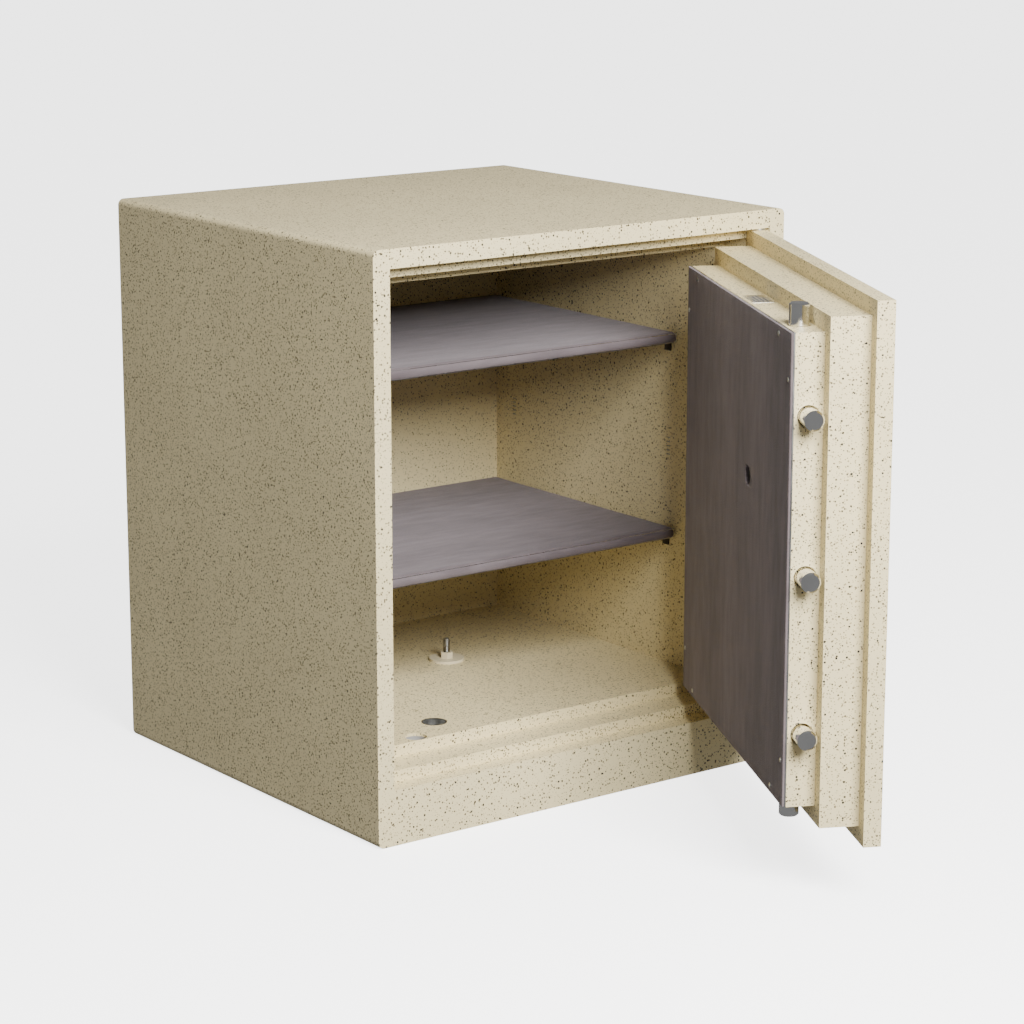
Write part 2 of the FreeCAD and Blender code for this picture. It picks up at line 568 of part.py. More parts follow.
def side_bolts():
    """Three bolts on one upright bar, whose arm is slotted for the cam and carries the lock's tab."""
    tip, length = f"(-{BOX_HALF} - throw)", "(throw + tray_t + bolt_tail)"
    bolts = []
    for z in BOLT_ZS:
        bolts.append(stand(shaft("side_bolt", "bolt_d", length, "bolt_edge"), "+x", tip, BOLT_Y, z))
    keep_door("side_bolts", *bolts)
    bar_x, pin_x = f"({tip} + {length})", f"({WORK_X} - {PIN_Z})"
    bar = block((bar_x, f"{bar_x} + bar_w"), (f"{BOLT_Y} - bar_t / 2", f"{BOLT_Y} + bar_t / 2"),
                (f"{BOLT_ZS[0]} - bar_end", f"{BOLT_ZS[2]} + bar_end"))
    depth = (ARM_Y, f"{ARM_Y} + arm_t")
    arm_z = ("(handle_z + arm_rise)", "(handle_z + arm_rise + throw)")
    arm = block((f"{bar_x} + bar_w - 1", f"{pin_x} + arm_past"), depth, arm_z)
    # the tab ends just short of the lock's bolt when that is out
    tab_x = f"({WORK_X} - lock_bolt_w / 2 - tab_gap)"
    tab_z = (f"{arm_z[1]} - 1", "lock_z - case_h / 2 - lock_bolt_out - 1")
    tab = block((f"{tab_x} - tab_w", tab_x), depth, tab_z)
    slot = block((f"{pin_x} - {SLOT}", f"{pin_x} + {SLOT}"), (f"{ARM_Y} - 1", f"{ARM_Y} + arm_t + 1"),
                 (f"handle_z + {PIN_X} - {SLOT_END}", f"handle_z + throw + {SLOT_END}"))
    keep_door("bolt_bar", cut(fuse(bar, arm, tab), slot))


def upright_bolts():
    """The top and bottom bolts, each with a cross stud, a cranked link to the cam and a guide."""
    link_x = (f"{UPRIGHT_X} - link_w / 2", f"{UPRIGHT_X} + link_w / 2")
    link_y = (LINK_Y, f"{LINK_Y} + link_t")
    half = "link_w / 2"
    guides = []
    plans = {
        "top": ("-z", f"({BOX_HIGH} + throw)", "-", f"(handle_z + {PIN_Z} + throw + crank_rise)"),
        "bottom": ("+z", f"({BOX_LOW} - throw)", "+", f"(handle_z - {PIN_Z})"),
    }
    for name, (way, tip, sign, arm_z) in plans.items():
        stud_z = f"({tip} {sign} {STUD_FROM_TIP})"
        bolt = stand(shaft(f"{name}_bolt", "bolt_d", UPRIGHT_L, "bolt_edge"), way, UPRIGHT_X, BOLT_Y, tip)
        stud = rod("+y", (UPRIGHT_X, BOLT_Y, stud_z), "stud_pin_d", f"{LINK_Y} + link_t + 1 - {BOLT_Y}")
        keep_door(f"{name}_bolt", fuse(bolt, stud))
        tall = (arm_z, f"{stud_z} + {half}") if name == "top" else (f"{stud_z} - {half}", arm_z)
        side = "+" if name == "top" else "-"
        pin_x = f"({WORK_X} {side} {PIN_X})"
        pieces = [block(link_x, link_y, tall),
                  block((link_x[0], f"{pin_x} + {half}"), link_y, (f"{arm_z} - {half}", f"{arm_z} + {half}"))]
        if name == "top":
            pieces.append(block((f"{pin_x} - {half}", f"{pin_x} + {half}"), link_y,
                                (f"handle_z + {PIN_Z} - {half}", arm_z)))
        pin_z = f"(handle_z + {PIN_Z})" if name == "top" else arm_z
        reach = (f"{pin_x} - {SLOT_END}", f"{WORK_X} + throw + {SLOT_END}")
        if name == "bottom":
            reach = (f"{WORK_X} - throw - {SLOT_END}", f"{pin_x} + {SLOT_END}")
        slot = block(reach, (f"{LINK_Y} - 1", f"{LINK_Y} + link_t + 1"),
                     (f"{pin_z} - {SLOT}", f"{pin_z} + {SLOT}"))
        eye = rod("+y", (UPRIGHT_X, f"{LINK_Y} - 1", stud_z), "stud_pin_d", "link_t + 2")
        keep_door(f"{name}_link", cut(fuse(*pieces), slot, eye))
        guide_z = f"({tip} {sign} {GUIDE_FROM_TIP})"
        low = f"({guide_z} - guide_t)" if name == "top" else guide_z
        guide = block((f"{UPRIGHT_X} - guide_half", f"{UPRIGHT_X} + guide_half"),
                      (BOX_Y, f"{BOLT_Y} + guide_lip"), (low, f"{low} + guide_t"))
        hole = rod("+z", (UPRIGHT_X, BOLT_Y, f"{low} - 1"), "bolt_d + 2 * bolt_play", "guide_t + 2")
        guides.append(cut(guide, hole))
    keep_door("bolt_guides", *guides)


def handle():
    """The rose on the slab, and the hub, lever, spindle, cam, cam pins and clip that turn together."""
    rose = ring("rose", "spindle_d + 1", "rose_d", "rose_t")
    keep_door("handle_rose", stand(rose, "-y", WORK_X, FRONT, "handle_z"))
    hub_y = f"({FRONT} - rose_t - 0.5)"
    r, bore = "(hub_d / 2)", "(spindle_d / 2)"
    hub = turned("hub", [(bore, "0"), (f"{r} - 1", "0"), (r, "1"), (f"{r} - 2", "hub_l - 4"),
                         (f"{r} - 5", "hub_l"), ("0", "hub_l"), ("0", "hub_l - 5"), (bore, "hub_l - 5")])
    stand(hub, "-y", WORK_X, hub_y, "handle_z")
    lever_y = f"({hub_y} - hub_l + lever_d / 2 + 5)"
    lever = turned("lever", [("0", "0"), ("lever_d / 2", "0"), ("lever_d / 2 - 2", "lever_l * 0.55"),
                             ("lever_d / 2 - 1.5", "lever_l - 8"), ("knob_d / 2 - 2", "lever_l - 2"),
                             ("knob_d / 2", "lever_l + 4"), ("knob_d / 2 - 2", "lever_l + 10"),
                             ("knob_d / 2 - 6", "lever_l + 13"), ("0", "lever_l + 14")])
    stand(lever, "+x", WORK_X, lever_y, "handle_z")
    clear = rod("-y", (WORK_X, f"{hub_y} + 1", "handle_z"), "hub_d - 2", "hub_l + 2")
    keep_door("handle_hub", hub)
    keep_door("handle_lever", cut(lever, clear, stand(hub_outline(), "-y", WORK_X, hub_y, "handle_z")))
    length = f"({CAM_Y} + cam_t + clip_t + 2 - ({hub_y} - hub_l + 5))"
    spindle = shaft("spindle", "spindle_d", length)
    keep_door("handle_spindle", stand(spindle, "+y", WORK_X, f"{hub_y} - hub_l + 5", "handle_z"))
    cam = ring("cam", "spindle_d", "cam_d", "cam_t")
    pins = {"side": (f"{WORK_X} - {PIN_Z}", f"handle_z + {PIN_X}"),
            "top": (f"{WORK_X} + {PIN_X}", f"handle_z + {PIN_Z}"),
            "bottom": (f"{WORK_X} - {PIN_X}", f"handle_z - {PIN_Z}")}
    seats = [rod("+y", (x, f"{CAM_Y} - 1", z), "cam_pin_d", "cam_t + 2") for x, z in pins.values()]
    keep_door("bolt_cam", cut(stand(cam, "+y", WORK_X, CAM_Y, "handle_z"), *seats))
    rear = f"({LINK_Y} + link_t + 1)"
    side_x, side_z = pins.pop("side")
    studs = [rod("+y", (side_x, f"{ARM_Y} - 1", side_z), "cam_pin_d", f"{CAM_Y} + cam_t - {ARM_Y} + 1")]
    studs += [rod("+y", (x, CAM_Y, z), "cam_pin_d", f"{rear} - {CAM_Y}") for x, z in pins.values()]
    keep_door("cam_pins", *studs)
    clip = ring("clip", "spindle_d", "clip_d", "clip_t")
    keep_door("spindle_clip", stand(clip, "+y", WORK_X, f"{CAM_Y} + cam_t", "handle_z"))


def hub_outline():
    """The hub's outer form, to shape the lever's root against."""
    return turned("hub_form", [("0", "0"), ("hub_d / 2 - 1", "0"), ("hub_d / 2", "1"),
                               ("hub_d / 2 - 2", "hub_l - 4"), ("hub_d / 2 - 5", "hub_l"), ("0", "hub_l")])


def dial_lock():
    """The dial and its ring outside, and the case, cover, wheels and bolt of the lock inside."""
    bezel = turned("dial_ring", [("dial_d / 2 + 1", "0"), ("dial_ring_d / 2", "0"),
                                 ("dial_ring_d / 2 - 2", "dial_ring_t"), ("dial_d / 2 + 1", "dial_ring_t")])
    keep_door("dial_ring", stand(bezel, "-y", WORK_X, FRONT, "lock_z"))
    bore, knob = "(dial_shaft_d / 2)", "(dial_knob_d / 2)"
    dial = turned("dial", [(bore, "0"), ("dial_d / 2", "0"), ("dial_d / 2 - 1", "2"),
                           (f"{knob} + 3", "dial_t"), (knob, "dial_t + 2"),
                           (f"{knob} - 1", "dial_t + dial_knob_l - 3"),
                           (f"{knob} - 4", "dial_t + dial_knob_l"), ("0", "dial_t + dial_knob_l"),
                           ("0", "dial_t + 4"), (bore, "dial_t + 4")])
    keep_door("dial", stand(dial, "-y", WORK_X, f"{FRONT} - 1", "lock_z"))
    shaft_y = f"({FRONT} - 5 - dial_t)"
    arbor = shaft("dial_shaft", "dial_shaft_d", f"{CASE_END} - case_t - 2 - {shaft_y}")
    keep_door("dial_shaft", stand(arbor, "+y", WORK_X, shaft_y, "lock_z"))
    x = (f"{WORK_X} - case_w / 2", f"{WORK_X} + case_w / 2")
    z = ("lock_z - case_h / 2", "lock_z + case_h / 2")
    in_x, in_z = (f"{x[0]} + case_t", f"{x[1]} - case_t"), (f"{z[0]} + case_t", f"{z[1]} - case_t")
    body_y = (BOX_Y, f"{CASE_END} - case_t")
    hollow = block(in_x, (f"{BOX_Y} + case_t", f"{CASE_END} + 1"), in_z)
    way_x = (f"{WORK_X} - lock_bolt_w / 2 - 0.2", f"{WORK_X} + lock_bolt_w / 2 + 0.2")
    bolt_y = (f"{ARM_Y} - 1", f"{ARM_Y} - 1 + lock_bolt_t")
    way = block(way_x, (f"{bolt_y[0]} - 0.2", f"{bolt_y[1]} + 0.2"), (f"{z[0]} - 1", in_z[0]))
    entry = rod("+y", (WORK_X, f"{BOX_Y} - 1", "lock_z"), "dial_shaft_d + 2 * spindle_play", "case_t + 2")
    keep_door("lock_case", cut(block(x, body_y, z), hollow, way, entry))
    lid = block(x, (f"{CASE_END} - case_t", CASE_END), z)
    key_hole = rod("+y", (WORK_X, f"{CASE_END} - case_t - 1", "lock_z"), "key_hole_d", "case_t + 2")
    keep_door("lock_lid", cut(lid, key_hole))
    wheels = [stand(ring("wheel", "dial_shaft_d", "wheel_d", "wheel_t"), "+y", WORK_X,
                    f"{BOX_Y} + case_t + 2 + {i} * wheel_pitch", "lock_z") for i in range(4)]
    keep_door("lock_wheels", *wheels)
    bolt_z = (f"{z[0]}", f"{z[0]} + lock_bolt_l")
    bolt = block((f"{WORK_X} - lock_bolt_w / 2", f"{WORK_X} + lock_bolt_w / 2"), bolt_y, bolt_z)
    room_for_wheels = rod("+y", (WORK_X, f"{BOX_Y} + case_t", "lock_z"), "wheel_d + 2", "box_t")
    keep_door("lock_bolt", cut(bolt, room_for_wheels))


outer_wrap()
door_frame()
inner_box()
barrier()
shelf_clips()
shelves()
floor_anchors()
hinge()
door_slab()
first_step()
bolt_box()
inner_cover()
side_bolts()
upright_bolts()
handle()
dial_lock()
doc.recompute()

for thing in doc.Objects:
    if {"Invalid", "Error"} & set(thing.State):
        raise SystemExit(f"{thing.Label} failed: {thing.State}")
for thing in PARTS:
    if thing.Shape.isNull() or not thing.Shape.isValid() or not thing.Shape.Solids:
        raise SystemExit(f"{thing.Label} has no valid solid")

os.makedirs("parts", exist_ok=True)
for thing in PARTS:
    thing.Shape.exportStep(f"parts/{thing.Label}.step")
print(len(PARTS), "parts,", sum(len(thing.Shape.Solids) for thing in PARTS), "solids")
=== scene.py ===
"""Looks for a free-standing safe: speckled paint, velour, chrome bolts, a dial and a studio round it.

Lengths are metres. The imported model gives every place; door pieces are built in the door's shut position
and swung open to where the door stands at rest.
"""
from __future__ import annotations

import json
import logging
import math
from dataclasses import dataclass, field
from enum import Enum
from typing import Iterable

import bmesh
import bpy
from mathutils import Matrix, Vector, noise

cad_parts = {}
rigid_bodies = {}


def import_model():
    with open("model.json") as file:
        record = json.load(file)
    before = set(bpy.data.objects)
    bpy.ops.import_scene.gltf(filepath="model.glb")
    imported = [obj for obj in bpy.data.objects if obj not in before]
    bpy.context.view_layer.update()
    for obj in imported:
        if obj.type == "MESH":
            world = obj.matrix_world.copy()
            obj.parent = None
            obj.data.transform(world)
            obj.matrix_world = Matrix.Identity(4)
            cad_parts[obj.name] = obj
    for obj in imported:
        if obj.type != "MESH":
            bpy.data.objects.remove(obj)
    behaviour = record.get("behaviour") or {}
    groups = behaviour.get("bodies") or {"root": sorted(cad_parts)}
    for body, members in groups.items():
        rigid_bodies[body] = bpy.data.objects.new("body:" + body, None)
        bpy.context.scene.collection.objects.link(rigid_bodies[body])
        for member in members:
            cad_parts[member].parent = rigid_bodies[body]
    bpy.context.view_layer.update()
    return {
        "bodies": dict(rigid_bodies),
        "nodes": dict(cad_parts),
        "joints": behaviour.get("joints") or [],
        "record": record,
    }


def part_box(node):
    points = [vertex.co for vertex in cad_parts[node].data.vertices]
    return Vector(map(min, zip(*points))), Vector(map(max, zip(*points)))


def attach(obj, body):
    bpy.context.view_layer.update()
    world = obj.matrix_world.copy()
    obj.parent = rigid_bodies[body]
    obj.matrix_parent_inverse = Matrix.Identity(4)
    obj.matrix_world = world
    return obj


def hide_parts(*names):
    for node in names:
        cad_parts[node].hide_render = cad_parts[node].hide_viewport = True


log = logging.getLogger("safe")
Colour = tuple[float, float, float]
Triple = tuple[float, float, float]
MM = 0.001
WELD = 1e-6  # points nearer than this are one
TINY = 1e-9  # a shift under this is none
QUARTER = math.radians(90)


# ---- materials ---------------------------------------------------------------------------------------


class Tree:
    """A small helper that builds one material's node tree on object coordinates."""

    def __init__(self, name: str) -> None:
        """Starts a material with only an output and a Principled shader.

        Args:
            name: the material's name.
        """
        self.material = bpy.data.materials.new(name)
        self.material.use_nodes = True
        self.nodes = self.material.node_tree.nodes
        self.nodes.clear()
        self.shader = self.add("ShaderNodeBsdfPrincipled")
        output = self.add("ShaderNodeOutputMaterial")
        self.link(self.shader.outputs["BSDF"], output.inputs["Surface"])
        self.place = self.add("ShaderNodeTexCoord").outputs["Object"]

    def add(self, kind: str, **settings: object) -> bpy.types.Node:
        """Adds a node and sets its plain properties.

        Args:
            kind: the node's type.
            settings: its plain properties by name.

        Returns:
            The node.
        """
        node = self.nodes.new(kind)
        for key, value in settings.items():
            setattr(node, key, value)
        return node

    def link(self, source: bpy.types.NodeSocket, target: bpy.types.NodeSocket) -> None:
        """Joins two sockets."""
        self.material.node_tree.links.new(source, target)

    def feed(self, socket: bpy.types.NodeSocket, value: object) -> None:
        """Links a socket, or sets it to a constant.

        Args:
            socket: the input that is fed.
            value: another node's output, or a constant.
        """
        if isinstance(value, bpy.types.NodeSocket):
            self.link(value, socket)
        else:
            socket.default_value = value

    def maths(self, operation: str, *values: object) -> bpy.types.NodeSocket:
        """A math node's result.

        Args:
            operation: what the node does.
            values: its inputs in order, each a socket or a number.

        Returns:
            The result's socket.
        """
        node = self.add("ShaderNodeMath", operation=operation)
        for socket, value in zip(node.inputs, values):
            self.feed(socket, value)
        return node.outputs[0]

    def mix(self, share: object, first: object, second: object) -> bpy.types.NodeSocket:
        """Two colours mixed; a plain colour is a tuple of three.

        Args:
            share: how much of the second there is, from 0 to 1.
            first: a colour or a socket.
            second: a colour or a socket.

        Returns:
            The mixed colour's socket.
        """
        node = self.add("ShaderNodeMix", data_type="RGBA")
        for index, value in ((0, share), (6, first), (7, second)):
            plain = isinstance(value, tuple)
            self.feed(node.inputs[index], (*value, 1.0) if plain else value)
        return node.outputs[2]

    def stretched(self, scale: Triple) -> bpy.types.NodeSocket:
        """Object coordinates stretched by a factor along each axis.

        Args:
            scale: the three factors.

        Returns:
            The stretched coordinates' socket.
        """
        node = self.add("ShaderNodeMapping")
        self.link(self.place, node.inputs["Vector"])
        node.inputs["Scale"].default_value = scale
        return node.outputs["Vector"]

    def noise(self, scale: float, detail: float = 3.0, stretch: Triple | None = None) -> bpy.types.NodeSocket:
        """A noise texture's value, from 0 to 1.

        Args:
            scale: how fine it is, per metre.
            detail: how many finer layers it has.
            stretch: a factor along each axis, if it is stretched.

        Returns:
            The value's socket.
        """
        node = self.add("ShaderNodeTexNoise")
        self.link(self.stretched(stretch) if stretch else self.place, node.inputs["Vector"])
        node.inputs["Scale"].default_value = scale
        node.inputs["Detail"].default_value = detail
        return node.outputs["Fac"]

    def band(self, value: bpy.types.NodeSocket, low: float, high: float) -> bpy.types.NodeSocket:
        """A value's span from low to high stretched to 0 to 1, and clamped.

        Args:
            value: the value's socket.
            low: what becomes 0.
            high: what becomes 1.

        Returns:
            The new value's socket.
        """
        node = self.add("ShaderNodeMapRange")
        self.link(value, node.inputs["Value"])
        node.inputs["From Min"].default_value = low
        node.inputs["From Max"].default_value = high
        return node.outputs["Result"]

    def bump(self, height: bpy.types.NodeSocket, depth: float, strength: float = 1.0) -> None:
        """Raises the shader's surface by a height map; depth is in metres.

        Args:
            height: the map's socket.
            depth: how far a height of 1 stands up.
            strength: the share of it that shows.
        """
        node = self.add("ShaderNodeBump")
        self.link(height, node.inputs["Height"])
        node.inputs["Distance"].default_value = depth
        node.inputs["Strength"].default_value = strength
        self.link(node.outputs["Normal"], self.shader.inputs["Normal"])

    def set(self, **values: object) -> None:
        """Sets constants or links on the shader; an underscore in a name stands for a space.

        Args:
            values: the shader's inputs by name.
        """
        for key, value in values.items():
            socket = self.shader.inputs[key.replace("_", " ")]
            self.feed(socket, (*value, 1.0) if isinstance(value, tuple) else value)


@dataclass(frozen=True)
class Fleck:
    """One size of fleck in a speckled paint: cell and radius in millimetres, share of cells from 0 to 1."""

    cell: float
    radius: float
    share: float
    colour: Colour


@dataclass(frozen=True)
class SpeckledPaint:
    """A textured coat with flecks of other colours and a fine orange peel."""

    name: str
    base: Colour
    flecks: tuple[Fleck, ...]
    roughness: float = 0.42
    specular: float = 0.45
    drift_scale: float = 7.0
    drift_shade: float = 0.94
    peel_scales: tuple[float, float] = (520.0, 160.0)
    peel_share: float = 0.6
    peel_depth: float = 0.35 * MM
    peel_strength: float = 0.35

    def fleck_mask(self, tree: Tree, fleck: Fleck) -> bpy.types.NodeSocket:
        """Where one size of fleck shows.

        Args:
            tree: the material that is being built.
            fleck: the fleck's cell, radius and share.

        Returns:
            A socket that is 1 inside a fleck and 0 outside.
        """
        cells = tree.add("ShaderNodeTexVoronoi")
        tree.link(tree.place, cells.inputs["Vector"])
        cells.inputs["Scale"].default_value = 1 / (fleck.cell * MM)
        parts = tree.add("ShaderNodeSeparateColor")
        tree.link(cells.outputs["Color"], parts.inputs["Color"])
        kept = tree.maths("GREATER_THAN", parts.outputs[0], 1 - fleck.share)
        reach = fleck.radius / fleck.cell
        radius = tree.maths("MULTIPLY_ADD", parts.outputs[1], 0.7 * reach, 0.5 * reach)
        inside = tree.maths("LESS_THAN", cells.outputs["Distance"], radius)
        return tree.maths("MULTIPLY", kept, inside)

    def build(self) -> bpy.types.Material:
        """Builds the material.

        Returns:
            The material, on object coordinates.
        """
        tree = Tree(self.name)
        drift = tree.band(tree.noise(self.drift_scale, 2.0), 0.35, 0.65)
        colour = tree.mix(drift, self.base, tuple(c * self.drift_shade for c in self.base))
        for fleck in self.flecks:
            colour = tree.mix(self.fleck_mask(tree, fleck), colour, fleck.colour)
        tree.set(Base_Color=colour, Roughness=self.roughness, Specular_IOR_Level=self.specular)
        fine, coarse = self.peel_scales
        waves = tree.maths("MULTIPLY", tree.noise(coarse, 1.0), self.peel_share)
        peel = tree.maths("ADD", tree.noise(fine, 2.0), waves)
        tree.bump(peel, self.peel_depth, self.peel_strength)
        return tree.material


@dataclass(frozen=True)
class Velour:
    """A short pile whose nap lies in streaks along one axis, with brushed patches and a sheen."""

    name: str
    dark: Colour
    light: Colour
    streaks: Triple
    patch_stretch: float = 0.28
    stroke_stretch: float = 2.6
    pile_scale: float = 900.0
    stroke_share: float = 0.40
    patch_share: float = 0.45
    pile_share: float = 0.22
    pile_depth: float = 0.5 * MM
    sheen_tint: Colour = (0.92, 0.86, 0.90)

    def build(self) -> bpy.types.Material:
        """Builds the material.

        Returns:
            The material, on object coordinates.
        """
        tree = Tree(self.name)
        broad = tuple(s * self.patch_stretch for s in self.streaks)
        narrow = tuple(s * self.stroke_stretch for s in self.streaks)
        patches = tree.band(tree.noise(1.0, 3.0, broad), 0.30, 0.72)
        strokes = tree.band(tree.noise(1.0, 5.0, narrow), 0.28, 0.74)
        pile = tree.noise(self.pile_scale, 2.0)
        brushed = tree.maths("MULTIPLY", patches, self.patch_share)
        nap = tree.maths("MULTIPLY_ADD", strokes, self.stroke_share, brushed)
        nap = tree.maths("ADD", nap, tree.maths("MULTIPLY", pile, self.pile_share))
        tree.set(Base_Color=tree.mix(nap, self.dark, self.light), Roughness=0.92, Specular_IOR_Level=0.15,
                 Sheen_Weight=0.28, Sheen_Roughness=0.45, Sheen_Tint=self.sheen_tint)
        tree.bump(tree.maths("ADD", pile, tree.maths("MULTIPLY", strokes, 0.5)), self.pile_depth, 0.5)
        return tree.material


@dataclass(frozen=True)
class BareMetal:
    """A bare or plated metal with faint machining marks and handling smears."""

    name: str
    colour: Colour
    roughness: float
    marks: float = 0.25
    grain: Triple = (60.0, 60.0, 900.0)
    mark_depth: float = 0.05 * MM
    smear_scale: float = 34.0
    smear_shade: float = 0.86

    def build(self) -> bpy.types.Material:
        """Builds the material.

        Returns:
            The material, on object coordinates.
        """
        tree = Tree(self.name)
        smear = tree.band(tree.noise(self.smear_scale, 3.0), 0.38, 0.70)
        rough = tree.maths("MULTIPLY_ADD", smear, self.roughness * 0.6, self.roughness * 0.7)
        smeared = tuple(c * self.smear_shade for c in self.colour)
        tree.set(Base_Color=tree.mix(smear, self.colour, smeared), Metallic=1.0, Roughness=rough)
        tree.bump(tree.noise(1.0, 3.0, self.grain), self.mark_depth, self.marks)
        return tree.material


@dataclass(frozen=True)
class Coat:
    """A plain satin coat with a little texture, or a rough cast surface."""

    name: str
    colour: Colour
    roughness: float
    grain_scale: float = 400.0
    grain_depth: float = 0.1
    mottle: float = 0.9
    glow: float = 0.0
    grain_strength: float = 0.6

    def build(self) -> bpy.types.Material:
        """Builds the material.

        Returns:
            The material, on object coordinates.
        """
        tree = Tree(self.name)
        grain = tree.noise(self.grain_scale, 4.0)
        shade = tree.band(tree.noise(self.grain_scale / 12, 3.0), 0.3, 0.7)
        tree.set(Base_Color=tree.mix(shade, self.colour, tuple(c * self.mottle for c in self.colour)),
                 Roughness=self.roughness, Emission_Color=(1.0, 1.0, 1.0), Emission_Strength=self.glow)
        tree.bump(grain, self.grain_depth * MM, self.grain_strength)
        return tree.material


PAINT = SpeckledPaint("speckled_paint", (0.80, 0.68, 0.385), (
    Fleck(2.3, 0.75, 0.70, (0.36, 0.29, 0.15)),
    Fleck(3.2, 0.85, 0.60, (0.10, 0.08, 0.045)),
    Fleck(5.0, 1.00, 0.55, (0.012, 0.010, 0.009)),
))
FOOT_PAINT = SpeckledPaint("foot_paint", (0.78, 0.69, 0.46), (Fleck(5.0, 0.6, 0.3, (0.2, 0.17, 0.11)),))
SHELF_VELOUR = Velour("shelf_velour", (0.060, 0.047, 0.050), (0.172, 0.144, 0.150), (9.0, 34.0, 34.0))
DOOR_VELOUR = Velour("door_velour", (0.085, 0.066, 0.066), (0.240, 0.200, 0.205), (34.0, 34.0, 7.0))
BOLT_CHROME = BareMetal("bolt_chrome", (0.80, 0.80, 0.79), 0.13, 0.12)
HANDLE_CHROME = BareMetal("handle_chrome", (0.80, 0.80, 0.80), 0.10, 0.06)
PLATED = BareMetal("plated_steel", (0.66, 0.66, 0.63), 0.32)
DARK_STEEL = BareMetal("dark_steel", (0.10, 0.095, 0.09), 0.42)
ALLOY = BareMetal("lock_alloy", (0.55, 0.55, 0.56), 0.45)
BRASS = BareMetal("lock_brass", (0.70, 0.52, 0.24), 0.28)
DIAL_SATIN = BareMetal("dial_satin", (0.66, 0.66, 0.66), 0.26, 0.3, (300.0, 300.0, 300.0))
DIAL_BLACK = Coat("dial_black", (0.012, 0.012, 0.013), 0.34)
INK_WHITE = Coat("dial_ink", (0.78, 0.78, 0.76), 0.5)
FOIL = BareMetal("label_foil", (0.86, 0.86, 0.85), 0.30, 0.5, (40.0, 40.0, 40.0))
LABEL_GREY = Coat("label_grey", (0.16, 0.16, 0.17), 0.5)
CONCRETE = Coat("cast_barrier", (0.36, 0.35, 0.33), 0.9, 220.0, 0.6, 0.75)
FLOOR = Coat("studio_floor", (0.90, 0.90, 0.90), 0.8, 30.0, 0.0, 1.0, glow=3.2)


class Slot(Enum):
    """The record's material slots, each with the finish that its CAD nodes wear."""

    SPECKLED_PAINT = PAINT
    CAST_BARRIER = CONCRETE
    VELOUR = SHELF_VELOUR
    BOLT_CHROME = BOLT_CHROME
    PLATED_STEEL = PLATED
    DARK_STEEL = DARK_STEEL
    PAINTED_FOOT = FOOT_PAINT
    HANDLE_CHROME = HANDLE_CHROME
    LOCK_ALLOY = ALLOY
    LOCK_BRASS = BRASS
    DIAL_BLACK = DIAL_BLACK
    DIAL_SATIN = DIAL_SATIN
    LABEL_FOIL = FOIL

    @property
    def key(self) -> str:
        """The slot's name in the record."""
        return self.name.lower()


class Finishes:
    """Builds each finish once and hands it out."""

    def __init__(self) -> None:
        """Starts with nothing built."""
        self.built: dict[str, bpy.types.Material] = {}

    def get(self, finish: SpeckledPaint | Velour | BareMetal | Coat) -> bpy.types.Material:
        """The material of a finish.

        Args:
            finish: the finish asked for.

        Returns:
            Its material, built the first time.
        """
        if finish.name not in self.built:
            self.built[finish.name] = finish.build()
        return self.built[finish.name]

    def dress_nodes(self, frame: dict) -> None:
        """Gives every CAD node the finish of its slot.
        """
        finishes = {slot.key: slot.value for slot in Slot}
        for part in frame["record"]["subparts"]:
            mesh = frame["nodes"][part["node"]].data
            mesh.materials.clear()
            mesh.materials.append(self.get(finishes[part["material_slot"]]))


# ---- mesh helpers ------------------------------------------------------------------------------------


def to_object(name: str, mesh: bpy.types.Mesh, material: bpy.types.Material,
              smooth: bool = True) -> bpy.types.Object:
    """Makes an object at the origin from a finished mesh.

    Args:
        name: the piece's name.
        mesh: its mesh, in place.
        material: what all of it wears.
        smooth: whether its faces are shaded smooth.

    Returns:
        The object, in the scene.
    """
    mesh.materials.clear()
    mesh.materials.append(material)
    mesh.shade_smooth() if smooth else mesh.shade_flat()
    piece = bpy.data.objects.new(name, mesh)
    bpy.context.scene.collection.objects.link(piece)
    return piece


def from_bmesh(shape: bmesh.types.BMesh, name: str) -> bpy.types.Mesh:
    """Turns a bmesh with outward faces into a mesh.

    Args:
        shape: the bmesh, which is freed.
        name: the mesh's name.

    Returns:
        The mesh, its doubles merged and its faces outwards.
    """
    bmesh.ops.remove_doubles(shape, verts=shape.verts, dist=WELD)
    bmesh.ops.recalc_face_normals(shape, faces=shape.faces)
    mesh = bpy.data.meshes.new(name)
    shape.to_mesh(mesh)
    shape.free()
    return mesh


def baked(piece: bpy.types.Object) -> bpy.types.Mesh:
    """The piece's mesh with its modifiers applied; the modifiers are then removed.

    Args:
        piece: the object.

    Returns:
        The new mesh.
    """
    bpy.context.view_layer.update()
    graph = bpy.context.evaluated_depsgraph_get()
    mesh = bpy.data.meshes.new_from_object(piece.evaluated_get(graph))
    piece.modifiers.clear()
    return mesh


def stations(low: float, high: float, edge: float, inner: int) -> list[float]:
    """Places along one side of a rounded slab, close together where it rounds over.

    Args:
        low: the side's low end.
        high: its high end.
        edge: how far the rounding reaches in from each end.
        inner: the number of steps between the roundings.

    Returns:
        The places in rising order.
    """
    steps = [0.0, 0.12, 0.3, 0.55, 0.8, 1.0]
    near = [low + edge * t for t in steps]
    far = [high - edge * t for t in reversed(steps)]
    span = far[0] - near[-1]
    return near + [near[-1] + span * i / inner for i in range(1, inner)] + far


